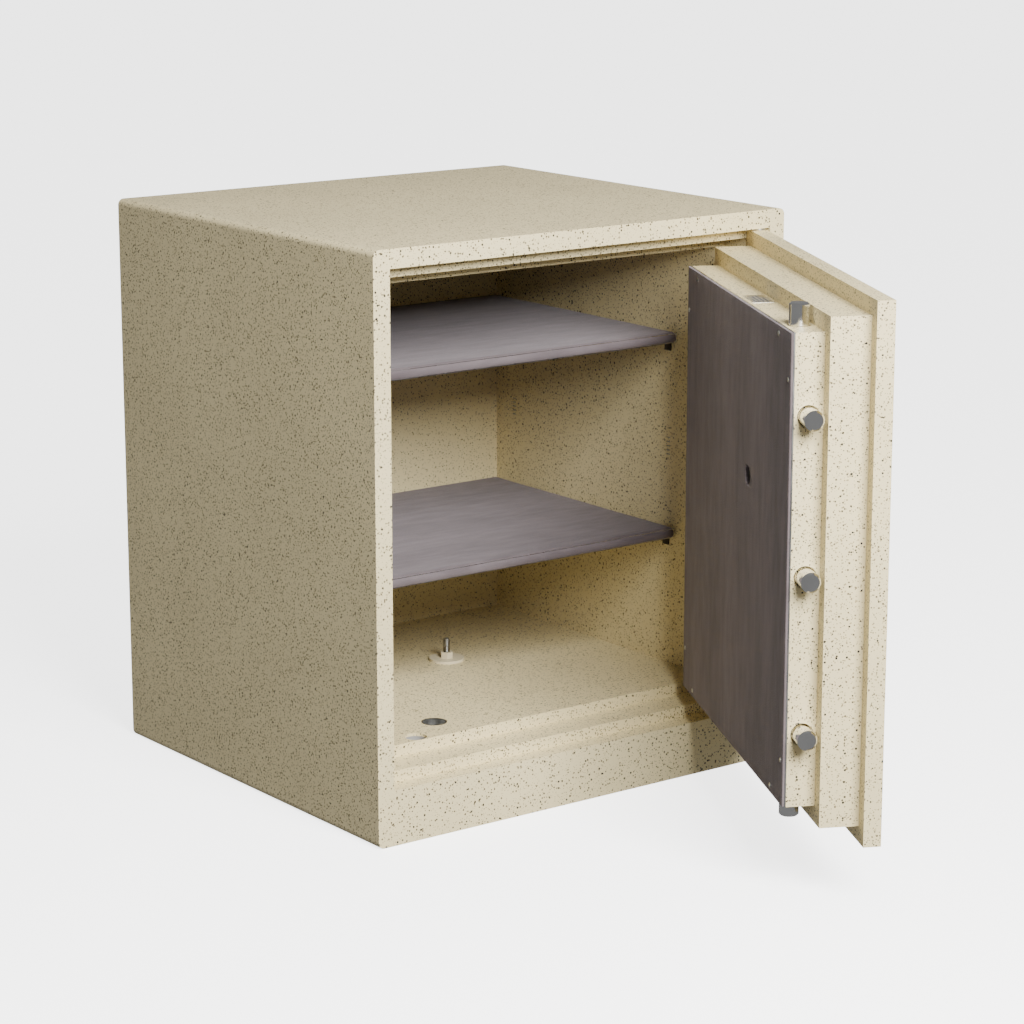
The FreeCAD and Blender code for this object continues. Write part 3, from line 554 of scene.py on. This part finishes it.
def slab_lattice(axes: tuple[list[float], list[float], list[float]], shape: bmesh.types.BMesh) -> None:
    """Fills a bmesh with the closed surface of a lattice block.

    Args:
        axes: the lattice's places along each axis.
        shape: the bmesh to fill.
    """
    sizes = [len(a) for a in axes]
    verts: dict[tuple[int, int, int], bmesh.types.BMVert] = {}

    def vert(index: tuple[int, int, int]) -> bmesh.types.BMVert:
        """The lattice point at an index, made once.

        Args:
            index: its place along each axis.

        Returns:
            The point.
        """
        if index not in verts:
            verts[index] = shape.verts.new([axes[a][index[a]] for a in range(3)])
        return verts[index]

    for axis in range(3):
        first, second = [a for a in range(3) if a != axis]
        for side in (0, sizes[axis] - 1):
            for i in range(sizes[first] - 1):
                for j in range(sizes[second] - 1):
                    corners = []
                    for di, dj in ((0, 0), (1, 0), (1, 1), (0, 1)):
                        index = [0, 0, 0]
                        index[axis], index[first], index[second] = side, i + di, j + dj
                        corners.append(vert(tuple(index)))
                    shape.faces.new(corners)


def rounded(point: Vector, low: Vector, high: Vector, radius: float) -> Vector:
    """Pulls a point of a block's surface on to the same block with rounded edges.

    Args:
        point: the point.
        low: the block's lowest corner.
        high: its highest corner.
        radius: the rounding.

    Returns:
        The point's new place.
    """
    core = Vector(min(max(p, a + radius), b - radius) for p, a, b in zip(point, low, high))
    away = point - core
    return core + away.normalized() * radius if away.length > TINY else point


@dataclass(frozen=True)
class SoftSlab:
    """A board wrapped in thin padding: rounded all round, a little crowned, never quite flat.

    Attributes:
        low: the lowest corner of the space it fills.
        high: the highest corner.
        radius: the rounding of its edges.
        crown: how far its two broad faces swell in the middle.
        ripple: the height of the small unevenness of glued fabric.
        across: the lattice's steps through its thickness.
        along: the steps over each broad side.
        long_wave: how close the long unevenness comes.
        short_wave: how close the short unevenness comes.
        edge_share: the most of a side that its rounding takes up.
    """

    low: Vector
    high: Vector
    radius: float
    crown: float
    ripple: float
    across: int = 3
    along: int = 44
    long_wave: float = 26.0
    short_wave: float = 70.0
    edge_share: float = 0.49

    def mesh(self, name: str) -> bpy.types.Mesh:
        """Builds the slab's mesh.

        Args:
            name: the mesh's name.

        Returns:
            A closed mesh.
        """
        size = self.high - self.low
        thin = min(range(3), key=lambda a: size[a])
        axes = tuple(
            stations(self.low[a], self.high[a], min(self.radius, size[a] * self.edge_share),
                     self.across if a == thin else self.along)
            for a in range(3)
        )
        shape = bmesh.new()
        slab_lattice(axes, shape)
        middle = (self.low + self.high) / 2
        for vert in shape.verts:
            point = vert.co.copy()
            spread = [abs(point[a] - middle[a]) / (size[a] / 2) for a in range(3) if a != thin]
            swell = self.crown * (1 - spread[0] ** 4) * (1 - spread[1] ** 4)
            side = 1.0 if point[thin] > middle[thin] else -1.0
            vert.co = rounded(point, self.low, self.high, min(self.radius, size[thin] * self.edge_share))
            wave = self.ripple * noise.noise(point * self.long_wave)
            wave += 0.5 * self.ripple * noise.noise(point * self.short_wave)
            depth = abs(point[thin] - middle[thin]) / (size[thin] / 2)
            vert.co[thin] += side * (swell + wave) * depth
        return from_bmesh(shape, name)


def lathe(profile: Iterable[tuple[float, float]], name: str, steps: int = 96) -> bpy.types.Mesh:
    """A closed turned form about +Z from (radius, height) pairs, from one end of the axis to the other.

    Args:
        profile: the pairs.
        name: the mesh's name.
        steps: the number of sides.

    Returns:
        The mesh.
    """
    shape = bmesh.new()
    rings: list[list[bmesh.types.BMVert]] = []
    for radius, height in profile:
        if radius < WELD:
            rings.append([shape.verts.new((0, 0, height))])
            continue
        turn = [math.tau * i / steps for i in range(steps)]
        rings.append([shape.verts.new((radius * math.cos(a), radius * math.sin(a), height)) for a in turn])
    for low, high in zip(rings, rings[1:]):
        for i in range(steps):
            j = (i + 1) % steps
            corners = [low[i % len(low)], low[j % len(low)], high[j % len(high)], high[i % len(high)]]
            face = list(dict.fromkeys(corners))
            if len(face) > 2:
                shape.faces.new(face)
    return from_bmesh(shape, name)


# ---- geometry nodes ----------------------------------------------------------------------------------


class Repeater:
    """A Geometry Nodes tree that sets copies of one small shape in place, ending as one plain mesh."""

    def __init__(self, name: str) -> None:
        """Starts a tree that takes in a shape and gives a geometry; the shape has to be its first input.

        Args:
            name: the tree's name.
        """
        self.tree = bpy.data.node_groups.new(name, "GeometryNodeTree")
        self.tree.interface.new_socket("Shape", in_out="INPUT", socket_type="NodeSocketGeometry")
        self.tree.interface.new_socket("Geometry", in_out="OUTPUT", socket_type="NodeSocketGeometry")
        self.inputs = self.tree.nodes.new("NodeGroupInput")
        self.output = self.tree.nodes.new("NodeGroupOutput")
        self.keys: dict[str, str] = {}

    def add(self, kind: str, **settings: object) -> bpy.types.Node:
        """Adds a node and sets its plain properties.

        Args:
            kind: the node's type.
            settings: its plain properties by name.

        Returns:
            The node.
        """
        node = self.tree.nodes.new(kind)
        for key, value in settings.items():
            setattr(node, key, value)
        return node

    def size(self, name: str, kind: str = "NodeSocketFloat") -> bpy.types.NodeSocket:
        """A named input of the tree."""
        self.keys[name] = self.tree.interface.new_socket(name, in_out="INPUT", socket_type=kind).identifier
        return self.inputs.outputs[name]

    def link(self, source: bpy.types.NodeSocket, target: bpy.types.NodeSocket) -> None:
        """Joins two sockets."""
        self.tree.links.new(source, target)

    def close(self, instances: bpy.types.NodeSocket, material: bpy.types.Material) -> None:
        """Ends the tree in Realize Instances and Set Material.

        Args:
            instances: the copies' socket.
            material: what they wear.
        """
        real = self.add("GeometryNodeRealizeInstances")
        paint = self.add("GeometryNodeSetMaterial")
        paint.inputs["Material"].default_value = material
        self.link(instances, real.inputs[0])
        self.link(real.outputs[0], paint.inputs["Geometry"])
        self.link(paint.outputs[0], self.output.inputs[0])

    def run(self, name: str, mesh: bpy.types.Mesh, sizes: dict[str, object]) -> bpy.types.Mesh:
        """Runs the tree on a mesh.

        Args:
            name: the result's name.
            mesh: the mesh that the tree reads.
            sizes: the values of the tree's named inputs.

        Returns:
            The result as a plain mesh.
        """
        host = bpy.data.objects.new(name, mesh)
        bpy.context.scene.collection.objects.link(host)
        modifier = host.modifiers.new(name, "NODES")
        modifier.node_group = self.tree
        for key, value in sizes.items():
            modifier[self.keys[key]] = value
        result = baked(host)
        bpy.data.objects.remove(host)
        if not result.polygons and mesh.polygons:
            raise RuntimeError(f"{name} came out empty")
        return result


def merged(name: str, meshes: list[bpy.types.Mesh]) -> bpy.types.Mesh:
    """Several meshes as one.

    Args:
        name: the new mesh's name.
        meshes: the meshes, which stay as they are.

    Returns:
        The new mesh.
    """
    shape = bmesh.new()
    for mesh in meshes:
        shape.from_mesh(mesh)
    joined = bpy.data.meshes.new(name)
    shape.to_mesh(joined)
    shape.free()
    return joined


def polar(name: str, mesh: bpy.types.Mesh, count: int, material: bpy.types.Material) -> bpy.types.Mesh:
    """Repeats a small mesh round the Z axis, evenly spaced over a full turn.

    Args:
        name: the tree's and the mesh's name.
        mesh: what is repeated.
        count: how many there are.
        material: what they wear.

    Returns:
        One mesh of all the copies.
    """
    repeater = Repeater(name)
    number = repeater.size("Count", "NodeSocketInt")
    step = repeater.size("Step")
    line = repeater.add("GeometryNodeMeshLine", mode="OFFSET")
    line.inputs["Offset"].default_value = (0.0, 0.0, 0.0)
    index = repeater.add("GeometryNodeInputIndex")
    angle = repeater.add("ShaderNodeMath", operation="MULTIPLY")
    turn = repeater.add("ShaderNodeCombineXYZ")
    placed = repeater.add("GeometryNodeInstanceOnPoints")
    repeater.link(number, line.inputs["Count"])
    repeater.link(index.outputs[0], angle.inputs[0])
    repeater.link(step, angle.inputs[1])
    repeater.link(angle.outputs[0], turn.inputs["Z"])
    repeater.link(line.outputs[0], placed.inputs["Points"])
    repeater.link(repeater.inputs.outputs["Shape"], placed.inputs["Instance"])
    repeater.link(turn.outputs[0], placed.inputs["Rotation"])
    repeater.close(placed.outputs[0], material)
    return repeater.run(name, mesh, {"Count": count, "Step": math.tau / count})


def points_mesh(points: Iterable[Vector]) -> bpy.types.Mesh:
    """A mesh of loose vertices, one for each point.

    Args:
        points: the points.

    Returns:
        The mesh.
    """
    mesh = bpy.data.meshes.new("points")
    mesh.from_pydata([tuple(p) for p in points], [], [])
    return mesh


# ---- the door's own position -------------------------------------------------------------------------


@dataclass
class DoorSwing:
    """Carries pieces between the door's shut position and where it stands at rest."""

    frame: dict
    pivot: Vector = field(init=False)
    angle: float = field(init=False)

    def __post_init__(self) -> None:
        """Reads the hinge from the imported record."""
        hinge = next(j for j in self.frame["joints"] if j["name"] == "door_hinge")
        self.pivot = Vector(hinge["pos_m"])
        self.angle = -math.radians(hinge["range_deg"][0])

    @property
    def opened(self) -> Matrix:
        """The motion from shut to rest."""
        turn = Matrix.Rotation(self.angle, 4, "Z")
        return Matrix.Translation(self.pivot) @ turn @ Matrix.Translation(-self.pivot)

    def shut_box(self, node: str) -> tuple[Vector, Vector]:
        """The corners of a door node in the shut position.

        Args:
            node: the node's name.

        Returns:
            Its lowest and its highest corner.
        """
        back = self.opened.inverted()
        places = [back @ v.co for v in self.frame["nodes"][node].data.vertices]
        return (Vector(min(p[a] for p in places) for a in range(3)),
                Vector(max(p[a] for p in places) for a in range(3)))

    def swing(self, mesh: bpy.types.Mesh) -> bpy.types.Mesh:
        """Moves a mesh from shut to rest."""
        mesh.transform(self.opened)
        return mesh


# ---- sub-assemblies ----------------------------------------------------------------------------------


@dataclass
class Shelves:
    """The two velour-wrapped shelves."""

    finishes: Finishes
    nose: float = 6.0 * MM
    crown: float = 0.5 * MM
    ripple: float = 0.22 * MM

    def build(self) -> None:
        """Builds both wraps and sets them over their trays."""
        for level in ("lower", "upper"):
            node = f"{level}_shelf_sleeve"
            low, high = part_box(node)
            slab = SoftSlab(low, high, self.nose, self.crown, self.ripple)
            piece = to_object(f"{level}_shelf_velour", slab.mesh(node), self.finishes.get(SHELF_VELOUR))
            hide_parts(node)
            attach(piece, "cabinet")
            Slot.VELOUR.key
            log.info("%s: %d faces", piece.name, len(piece.data.polygons))


@dataclass
class FloorAnchor:
    """The threaded stud that holds the safe down. Its nut and plate stay as they are."""

    finishes: Finishes
    pitch: float = 1.25 * MM
    thread_depth: float = 0.55 * MM
    facets: int = 40
    plate_gap: float = 2 * MM
    tip_gap: float = 1.2 * MM
    tip_height: float = 0.8 * MM
    tip_inset: float = 1.4 * MM
    core_inset: float = 0.6 * MM

    def stud(self) -> None:
        """Builds the stud as a core with a stack of thread ridges on its upper half."""
        low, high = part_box("anchor_stud")
        radius = (high.x - low.x) / 2
        centre = Vector(((low.x + high.x) / 2, (low.y + high.y) / 2, 0))
        ridges = Repeater("thread_ridges")
        count = ridges.size("Count", "NodeSocketInt")
        pitch, reach = ridges.size("Pitch"), ridges.size("Radius")
        line = ridges.add("GeometryNodeMeshLine", mode="OFFSET")
        offset = ridges.add("ShaderNodeCombineXYZ")
        ridge = ridges.add("GeometryNodeMeshCone", fill_type="NGON")
        ridge.inputs["Vertices"].default_value = self.facets
        flip = ridges.add("GeometryNodeMeshCone", fill_type="NGON")
        flip.inputs["Vertices"].default_value = self.facets
        root = ridges.add("ShaderNodeMath", operation="MULTIPLY")
        root.inputs[1].default_value = 1 - self.thread_depth / radius
        half = ridges.add("ShaderNodeMath", operation="MULTIPLY")
        half.inputs[1].default_value = 0.5
        for source, target in (
            (count, line.inputs["Count"]), (pitch, offset.inputs["Z"]),
            (offset.outputs[0], line.inputs["Offset"]),
            (reach, root.inputs[0]), (pitch, half.inputs[0]),
            (root.outputs[0], ridge.inputs["Radius Top"]), (reach, ridge.inputs["Radius Bottom"]),
            (half.outputs[0], ridge.inputs["Depth"]),
            (reach, flip.inputs["Radius Top"]), (root.outputs[0], flip.inputs["Radius Bottom"]),
            (half.outputs[0], flip.inputs["Depth"]),
        ):
            ridges.link(source, target)
        up = ridges.add("ShaderNodeCombineXYZ")
        ridges.link(half.outputs[0], up.inputs["Z"])
        lift = ridges.add("GeometryNodeTransform")
        ridges.link(ridge.outputs["Mesh"], lift.inputs["Geometry"])
        ridges.link(up.outputs[0], lift.inputs["Translation"])
        both = ridges.add("GeometryNodeJoinGeometry")
        ridges.link(lift.outputs[0], both.inputs[0])
        ridges.link(flip.outputs["Mesh"], both.inputs[0])
        placed = ridges.add("GeometryNodeInstanceOnPoints")
        ridges.link(line.outputs[0], placed.inputs["Points"])
        ridges.link(both.outputs[0], placed.inputs["Instance"])
        ridges.close(placed.outputs[0], self.finishes.get(PLATED))
        turns = int((high.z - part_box("anchor_plate")[1].z - self.plate_gap) / self.pitch)
        mesh = ridges.run("anchor_thread", points_mesh([]),
                          {"Count": turns, "Pitch": self.pitch, "Radius": radius})
        start = high.z - self.tip_gap - turns * self.pitch
        mesh.transform(Matrix.Translation(centre + Vector((0, 0, start))))
        inner = radius - self.core_inset
        core = lathe([(0, low.z), (inner, low.z), (inner, high.z - self.tip_height),
                      (radius - self.tip_inset, high.z), (0, high.z)], "stud_core", self.facets)
        core.transform(Matrix.Translation(centre))
        joined = merged("anchor_threaded_stud", [mesh, core])
        piece = to_object("anchor_threaded_stud", joined, self.finishes.get(PLATED), smooth=False)
        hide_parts("anchor_stud")
        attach(piece, "cabinet")
        Slot.PLATED_STEEL.key
        log.info("%s: %d turns", piece.name, turns)


DISH_MM = ((0, 0), (36.6, 0), (37, 0.4), (36.4, 1.6), (36, 2), (24, 5.7), (22.4, 6.1), (21.2, 7), (19.2, 8.4),
           (18.6, 24.6), (18, 26.6), (16, 28), (12, 28), (11, 27.4), (0, 27.2))
FLUTE_MM = ((0, 0), (0.55, 0), (0.75, 0.4), (0.75, 15.6), (0.4, 16.2), (0, 16.2))


@dataclass
class OutsideLock:
    """The dial with its scale, numbers and fluted knob, and the index mark on its ring."""

    finishes: Finishes
    swing: DoorSwing
    slope: float = math.radians(17.1)
    scale_rim: float = 36 * MM
    scale_lift: float = 2 * MM
    flute_radius: float = 18.85 * MM
    flute_foot: float = 8.8 * MM
    flutes: int = 60
    tick_end: float = 35.4 * MM
    tick_depth: float = 0.12 * MM
    number_radius: float = 27.6 * MM
    number_height: float = 5.4 * MM
    number_depth: float = 0.08 * MM
    index_radius: float = 39.6 * MM
    index_size: float = 2.2 * MM
    index_depth: float = 0.3 * MM

    def seat(self, mesh: bpy.types.Mesh) -> bpy.types.Mesh:
        """Moves a mesh drawn about +Z on to the dial's axis, then to rest.

        Args:
            mesh: the mesh.

        Returns:
            The same mesh, moved.
        """
        low, high = self.swing.shut_box("dial")
        centre = Vector(((low.x + high.x) / 2, high.y, (low.z + high.z) / 2))
        mesh.transform(Matrix.Translation(centre) @ Matrix.Rotation(QUARTER, 4, "X"))
        return self.swing.swing(mesh)

    def on_scale(self, radius: float) -> float:
        """The height of the dial's sloping scale at a radius."""
        return self.scale_lift + (self.scale_rim - radius) * math.tan(self.slope)

    def body(self) -> None:
        """Builds the dial's dish and its knob with flutes."""
        core = lathe([(r * MM, z * MM) for r, z in DISH_MM], "dial_core", 120)
        flute = lathe([(r * MM, z * MM) for r, z in FLUTE_MM], "flute", 10)
        flute.transform(Matrix.Translation((self.flute_radius, 0, self.flute_foot)))
        ribs = polar("knob_flutes", flute, self.flutes, self.finishes.get(DIAL_BLACK))
        piece = to_object("dial_body", merged("dial_body", [core, ribs]), self.finishes.get(DIAL_BLACK))
        self.seat(piece.data)
        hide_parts("dial")
        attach(piece, "dial")
        Slot.DIAL_BLACK.key

    def tick(self, inner: float, width: float) -> bpy.types.Mesh:
        """One line of the scale, lying on its slope at +Y.

        Args:
            inner: the radius at which it starts.
            width: its width.

        Returns:
            The line's mesh.
        """
        outer = self.tick_end
        shape = bmesh.new()
        bmesh.ops.create_cube(shape, size=1.0)
        size = Matrix.Diagonal((width, (outer - inner) / math.cos(self.slope), self.tick_depth, 1))
        middle = (inner + outer) / 2
        place = Matrix.Translation((0, middle, self.on_scale(middle))) @ Matrix.Rotation(-self.slope, 4, "X")
        bmesh.ops.transform(shape, matrix=place @ size, verts=shape.verts)
        return from_bmesh(shape, "tick")

    def number(self, value: int) -> bpy.types.Mesh:
        """One number of the scale, raised a little from its slope.

        Args:
            value: the number.

        Returns:
            Its mesh, turned to its place on the scale.
        """
        curve = bpy.data.curves.new(f"number_{value}", "FONT")
        curve.body, curve.size, curve.extrude = str(value), self.number_height, self.number_depth
        curve.align_x, curve.align_y = "CENTER", "CENTER"
        host = bpy.data.objects.new(curve.name, curve)
        bpy.context.scene.collection.objects.link(host)
        bpy.context.view_layer.update()
        mesh = bpy.data.meshes.new_from_object(host.evaluated_get(bpy.context.evaluated_depsgraph_get()))
        bpy.data.objects.remove(host)
        radius = self.number_radius
        place = Matrix.Translation((0, radius, self.on_scale(radius))) @ Matrix.Rotation(-self.slope, 4, "X")
        turn = Matrix.Rotation(-math.tau * value / 100, 4, "Z")
        mesh.transform(turn @ place)
        return mesh

    def marks(self) -> None:
        """Builds the scale's lines and numbers, and the index on the ring."""
        ink = self.finishes.get(INK_WHITE)
        lines = [polar("ticks_one", self.tick(33.6 * MM, 0.35 * MM), 100, ink),
                 polar("ticks_five", self.tick(32.6 * MM, 0.45 * MM), 20, ink),
                 polar("ticks_ten", self.tick(31.6 * MM, 0.7 * MM), 10, ink)]
        numbers = [self.number(value) for value in range(0, 100, 10)]
        piece = to_object("dial_marks", merged("dial_marks", [*lines, *numbers]), ink, smooth=False)
        self.seat(piece.data)
        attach(piece, "dial")
        Slot.DIAL_BLACK.key
        ring_low = self.swing.shut_box("dial_ring")[0]
        dial_back = self.swing.shut_box("dial")[1]
        index = lathe([(0, 0), (self.index_size, 0), (self.index_size, self.index_depth),
                       (0, self.index_depth)], "index", 3)
        turn = Matrix.Rotation(-QUARTER, 4, "Z")
        height = dial_back.y - ring_low.y - 0.1 * MM
        index.transform(Matrix.Translation((0, self.index_radius, height)) @ turn)
        mark = to_object("dial_index", self.seat(index), ink, smooth=False)
        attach(mark, "door")
        Slot.DIAL_SATIN.key

    def build(self) -> None:
        """Builds the dial and its marks."""
        self.body()
        self.marks()


@dataclass
class BlankLabel:
    """A foil label with no words: a pale field and grey bars."""

    finishes: Finishes
    swing: DoorSwing
    bars: tuple[tuple[float, float], ...] = ((0.08, 0.62), (0.08, 0.92), (0.08, 0.80), (0.08, 0.40))
    first_bar: float = 0.18
    bar_pitch: float = 0.2
    bar_width: float = 0.09
    bar_sink: float = 0.05 * MM
    bar_rise: float = 0.04 * MM

    def plate(self, low: Vector, high: Vector) -> bpy.types.Mesh:
        """A flat plate between two corners.

        Args:
            low: its lowest corner.
            high: its highest corner.

        Returns:
            The plate's mesh.
        """
        shape = bmesh.new()
        bmesh.ops.create_cube(shape, size=1.0)
        size = Matrix.Diagonal((*(high - low), 1))
        bmesh.ops.transform(shape, matrix=Matrix.Translation((low + high) / 2) @ size, verts=shape.verts)
        return from_bmesh(shape, "plate")

    def build(self) -> None:
        """Builds the label and its printed bars."""
        low, high = self.swing.shut_box("blank_label")
        sheet = self.swing.swing(self.plate(low, high))
        base = to_object("label_sheet", sheet, self.finishes.get(FOIL), smooth=False)
        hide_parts("blank_label")
        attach(base, "door")
        Slot.LABEL_FOIL.key
        bars = []
        width, depth = high.x - low.x, high.y - low.y
        for row, (start, end) in enumerate(self.bars):
            y = low.y + depth * (self.first_bar + self.bar_pitch * row)
            bars.append(self.plate(
                Vector((low.x + width * start, y, high.z - self.bar_sink)),
                Vector((low.x + width * end, y + depth * self.bar_width, high.z + self.bar_rise)),
            ))
        joined = self.swing.swing(merged("label_bars", bars))
        printed = to_object("label_bars", joined, self.finishes.get(LABEL_GREY), smooth=False)
        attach(printed, "door")
        Slot.LABEL_FOIL.key


@dataclass
class InnerCover:
    """The door's velour facing with its hole, and the screws that hold it."""

    finishes: Finishes
    swing: DoorSwing
    edge: float = 1.1 * MM
    crown: float = 0.7 * MM
    ripple: float = 0.14 * MM
    hole_radius: float = 10 * MM
    hole_reach: float = 20 * MM
    hole_steps: int = 48
    screw_reach: float = 12 * MM
    head_radius: float = 2.5 * MM
    head_height: float = 1.2 * MM
    recess: Triple = (3.0 * MM, 0.55 * MM, 1.2 * MM)

    def facing(self) -> None:
        """Builds the facing, with a hole for the lock's change key."""
        low, high = self.swing.shut_box("cover_facing")
        slab = SoftSlab(low, high, self.edge, self.crown, self.ripple)
        piece = to_object("door_velour", slab.mesh("door_velour"), self.finishes.get(DOOR_VELOUR))
        dial = self.swing.shut_box("dial")
        radius, reach = self.hole_radius, self.hole_reach
        cutter_mesh = lathe([(0, -reach), (radius, -reach), (radius, reach), (0, reach)], "cut",
                            self.hole_steps)
        turn = Matrix.Rotation(QUARTER, 4, "X")
        centre = Vector(((dial[0].x + dial[1].x) / 2, high.y, (dial[0].z + dial[1].z) / 2))
        cutter_mesh.transform(Matrix.Translation(centre) @ turn)
        cutter = bpy.data.objects.new("cutter", cutter_mesh)
        bpy.context.scene.collection.objects.link(cutter)
        cut = piece.modifiers.new("hole", "BOOLEAN")
        cut.operation, cut.solver, cut.object = "DIFFERENCE", "EXACT", cutter
        piece.data = baked(piece)
        bpy.data.objects.remove(cutter)
        piece.data.materials.clear()
        piece.data.materials.append(self.finishes.get(DOOR_VELOUR))
        self.swing.swing(piece.data)
        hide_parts("cover_facing")
        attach(piece, "door")
        Slot.VELOUR.key
        log.info("%s: %d faces", piece.name, len(piece.data.polygons))

    def screw_head(self) -> bpy.types.Mesh:
        """A domed head with a cross recess, standing on +Z.

        Returns:
            The head's mesh.
        """
        radius, height = self.head_radius, self.head_height
        dome = [(0, 0), (radius, 0), (radius, height * 0.3)]
        dome += [(radius * math.cos(t * math.pi / 10), height * (0.3 + 0.7 * math.sin(t * math.pi / 10)))
                 for t in range(1, 5)]
        head = lathe([*dome, (0, height)], "screw_head", 24)
        host = bpy.data.objects.new("head", head)
        bpy.context.scene.collection.objects.link(host)
        cross = bmesh.new()
        for angle in (0, 90):
            bar = bmesh.ops.create_cube(cross, size=1.0)["verts"]
            scale = Matrix.Diagonal((*self.recess, 1))
            place = Matrix.Translation((0, 0, height)) @ Matrix.Rotation(math.radians(angle), 4, "Z") @ scale
            bmesh.ops.transform(cross, matrix=place, verts=bar)
        cutter = bpy.data.objects.new("cross", bpy.data.meshes.new("cross"))
        cross.to_mesh(cutter.data)
        cross.free()
        bpy.context.scene.collection.objects.link(cutter)
        cut = host.modifiers.new("recess", "BOOLEAN")
        cut.operation, cut.solver, cut.object, cut.use_self = "DIFFERENCE", "EXACT", cutter, True
        result = baked(host)
        for done in (host, cutter):
            bpy.data.objects.remove(done)
        return result

    def screws(self) -> None:
        """Sets a screw head at each of the cover's screws."""
        back = self.swing.opened.inverted()
        node = self.swing.frame["nodes"]["cover_screws"].data
        places = [back @ v.co for v in node.vertices]
        base = min(p.y for p in places)
        spots: list[Vector] = []
        for place in places:
            near = next((s for s in spots if (s - place).xz.length < self.screw_reach), None)
            if near is None:
                spots.append(Vector((place.x, base, place.z)))
        centres = []
        for spot in spots:
            own = [p for p in places if (p - spot).xz.length < self.screw_reach]
            centres.append(Vector((sum(p.x for p in own) / len(own), base, sum(p.z for p in own) / len(own))))
        repeater = Repeater("cover_screw_heads")
        source = repeater.size("Places", "NodeSocketObject")
        turn = repeater.size("Turn", "NodeSocketVector")
        info = repeater.add("GeometryNodeObjectInfo")
        repeater.link(source, info.inputs["Object"])
        points = repeater.add("GeometryNodeMeshToPoints")
        repeater.link(info.outputs["Geometry"], points.inputs["Mesh"])
        placed = repeater.add("GeometryNodeInstanceOnPoints")
        repeater.link(points.outputs[0], placed.inputs["Points"])
        repeater.link(repeater.inputs.outputs["Shape"], placed.inputs["Instance"])
        repeater.link(turn, placed.inputs["Rotation"])
        repeater.close(placed.outputs[0], self.finishes.get(PLATED))
        spread = bpy.data.objects.new("screw_places", points_mesh(centres))
        bpy.context.scene.collection.objects.link(spread)
        mesh = repeater.run("cover_screw_heads", self.screw_head(),
                            {"Places": spread, "Turn": (-QUARTER, 0.0, 0.0)})
        bpy.data.objects.remove(spread)
        self.swing.swing(mesh)
        piece = to_object("cover_screw_heads", mesh, self.finishes.get(PLATED), smooth=False)
        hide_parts("cover_screws")
        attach(piece, "door")
        Slot.PLATED_STEEL.key
        log.info("%s: %d heads", piece.name, len(centres))

    def build(self) -> None:
        """Builds the facing and its screws."""
        self.facing()
        self.screws()


# ---- studio ------------------------------------------------------------------------------------------


@dataclass(frozen=True)
class Studio:
    """A plain white studio: the floor, one soft light, the surroundings and the camera."""

    azimuth: float = 36.88
    elevation: float = 13.09
    distance: float = 3.4586
    lens: float = 108.67
    sensor: float = 36.0
    aim: Triple = (0.0516, -0.0491, 0.2744)
    floor_reach: float = 30.0
    key_place: Triple = (-0.45, -2.2, 1.7)
    key_aim: Triple = (0.0, 0.0, 0.3)
    key_width: float = 1.2
    key_watts: float = 185.0
    surround: float = 0.24

    def floor(self, finishes: Finishes) -> None:
        """Lays the floor, bright to the camera alone: it neither lights the safe nor shows in its gloss.

        Args:
            finishes: the finishes in use.
        """
        shape = bmesh.new()
        bmesh.ops.create_grid(shape, x_segments=1, y_segments=1, size=self.floor_reach)
        mesh = from_bmesh(shape, "studio_floor")
        piece = to_object("studio_floor", mesh, finishes.get(FLOOR), smooth=False)
        piece.visible_diffuse = False
        piece.visible_glossy = False

    def key(self) -> None:
        """Adds the key: one broad soft light, ahead of the safe and above it, a little to the left."""
        data = bpy.data.lights.new("key", "AREA")
        data.size, data.energy = self.key_width, self.key_watts
        lamp = bpy.data.objects.new("key", data)
        bpy.context.scene.collection.objects.link(lamp)
        place = Vector(self.key_place)
        lamp.location = place
        lamp.rotation_euler = (Vector(self.key_aim) - place).to_track_quat("-Z", "Y").to_euler()
        lamp.visible_camera = False

    def world(self) -> None:
        """Makes the surroundings an even white."""
        world = bpy.data.worlds.new("studio")
        bpy.context.scene.world = world
        world.use_nodes = True
        background = world.node_tree.nodes["Background"]
        background.inputs["Color"].default_value = (1.0, 1.0, 1.0, 1.0)
        background.inputs["Strength"].default_value = self.surround

    def camera(self) -> None:
        """Sets the camera up."""
        a, e = math.radians(self.azimuth), math.radians(self.elevation)
        look = Vector((math.sin(a) * math.cos(e), math.cos(a) * math.cos(e), -math.sin(e)))
        data = bpy.data.cameras.new("camera")
        data.lens, data.sensor_width = self.lens, self.sensor
        camera = bpy.data.objects.new("camera", data)
        bpy.context.scene.collection.objects.link(camera)
        camera.location = Vector(self.aim) - look * self.distance
        camera.rotation_euler = look.to_track_quat("-Z", "Y").to_euler()
        bpy.context.scene.camera = camera

    def build(self, finishes: Finishes) -> None:
        """Builds the studio.

        Args:
            finishes: the finishes in use.
        """
        self.camera()
        self.world()
        self.floor(finishes)
        self.key()


def main() -> None:
    """Dresses the frame and builds every piece in order."""
    logging.basicConfig(level=logging.INFO, format="%(name)s %(message)s")
    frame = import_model()
    finishes = Finishes()
    finishes.dress_nodes(frame)
    Studio().build(finishes)
    swing = DoorSwing(frame)
    Shelves(finishes).build()
    FloorAnchor(finishes).stud()
    InnerCover(finishes, swing).build()
    OutsideLock(finishes, swing).build()
    BlankLabel(finishes, swing).build()


if __name__ == "__main__":
    main()
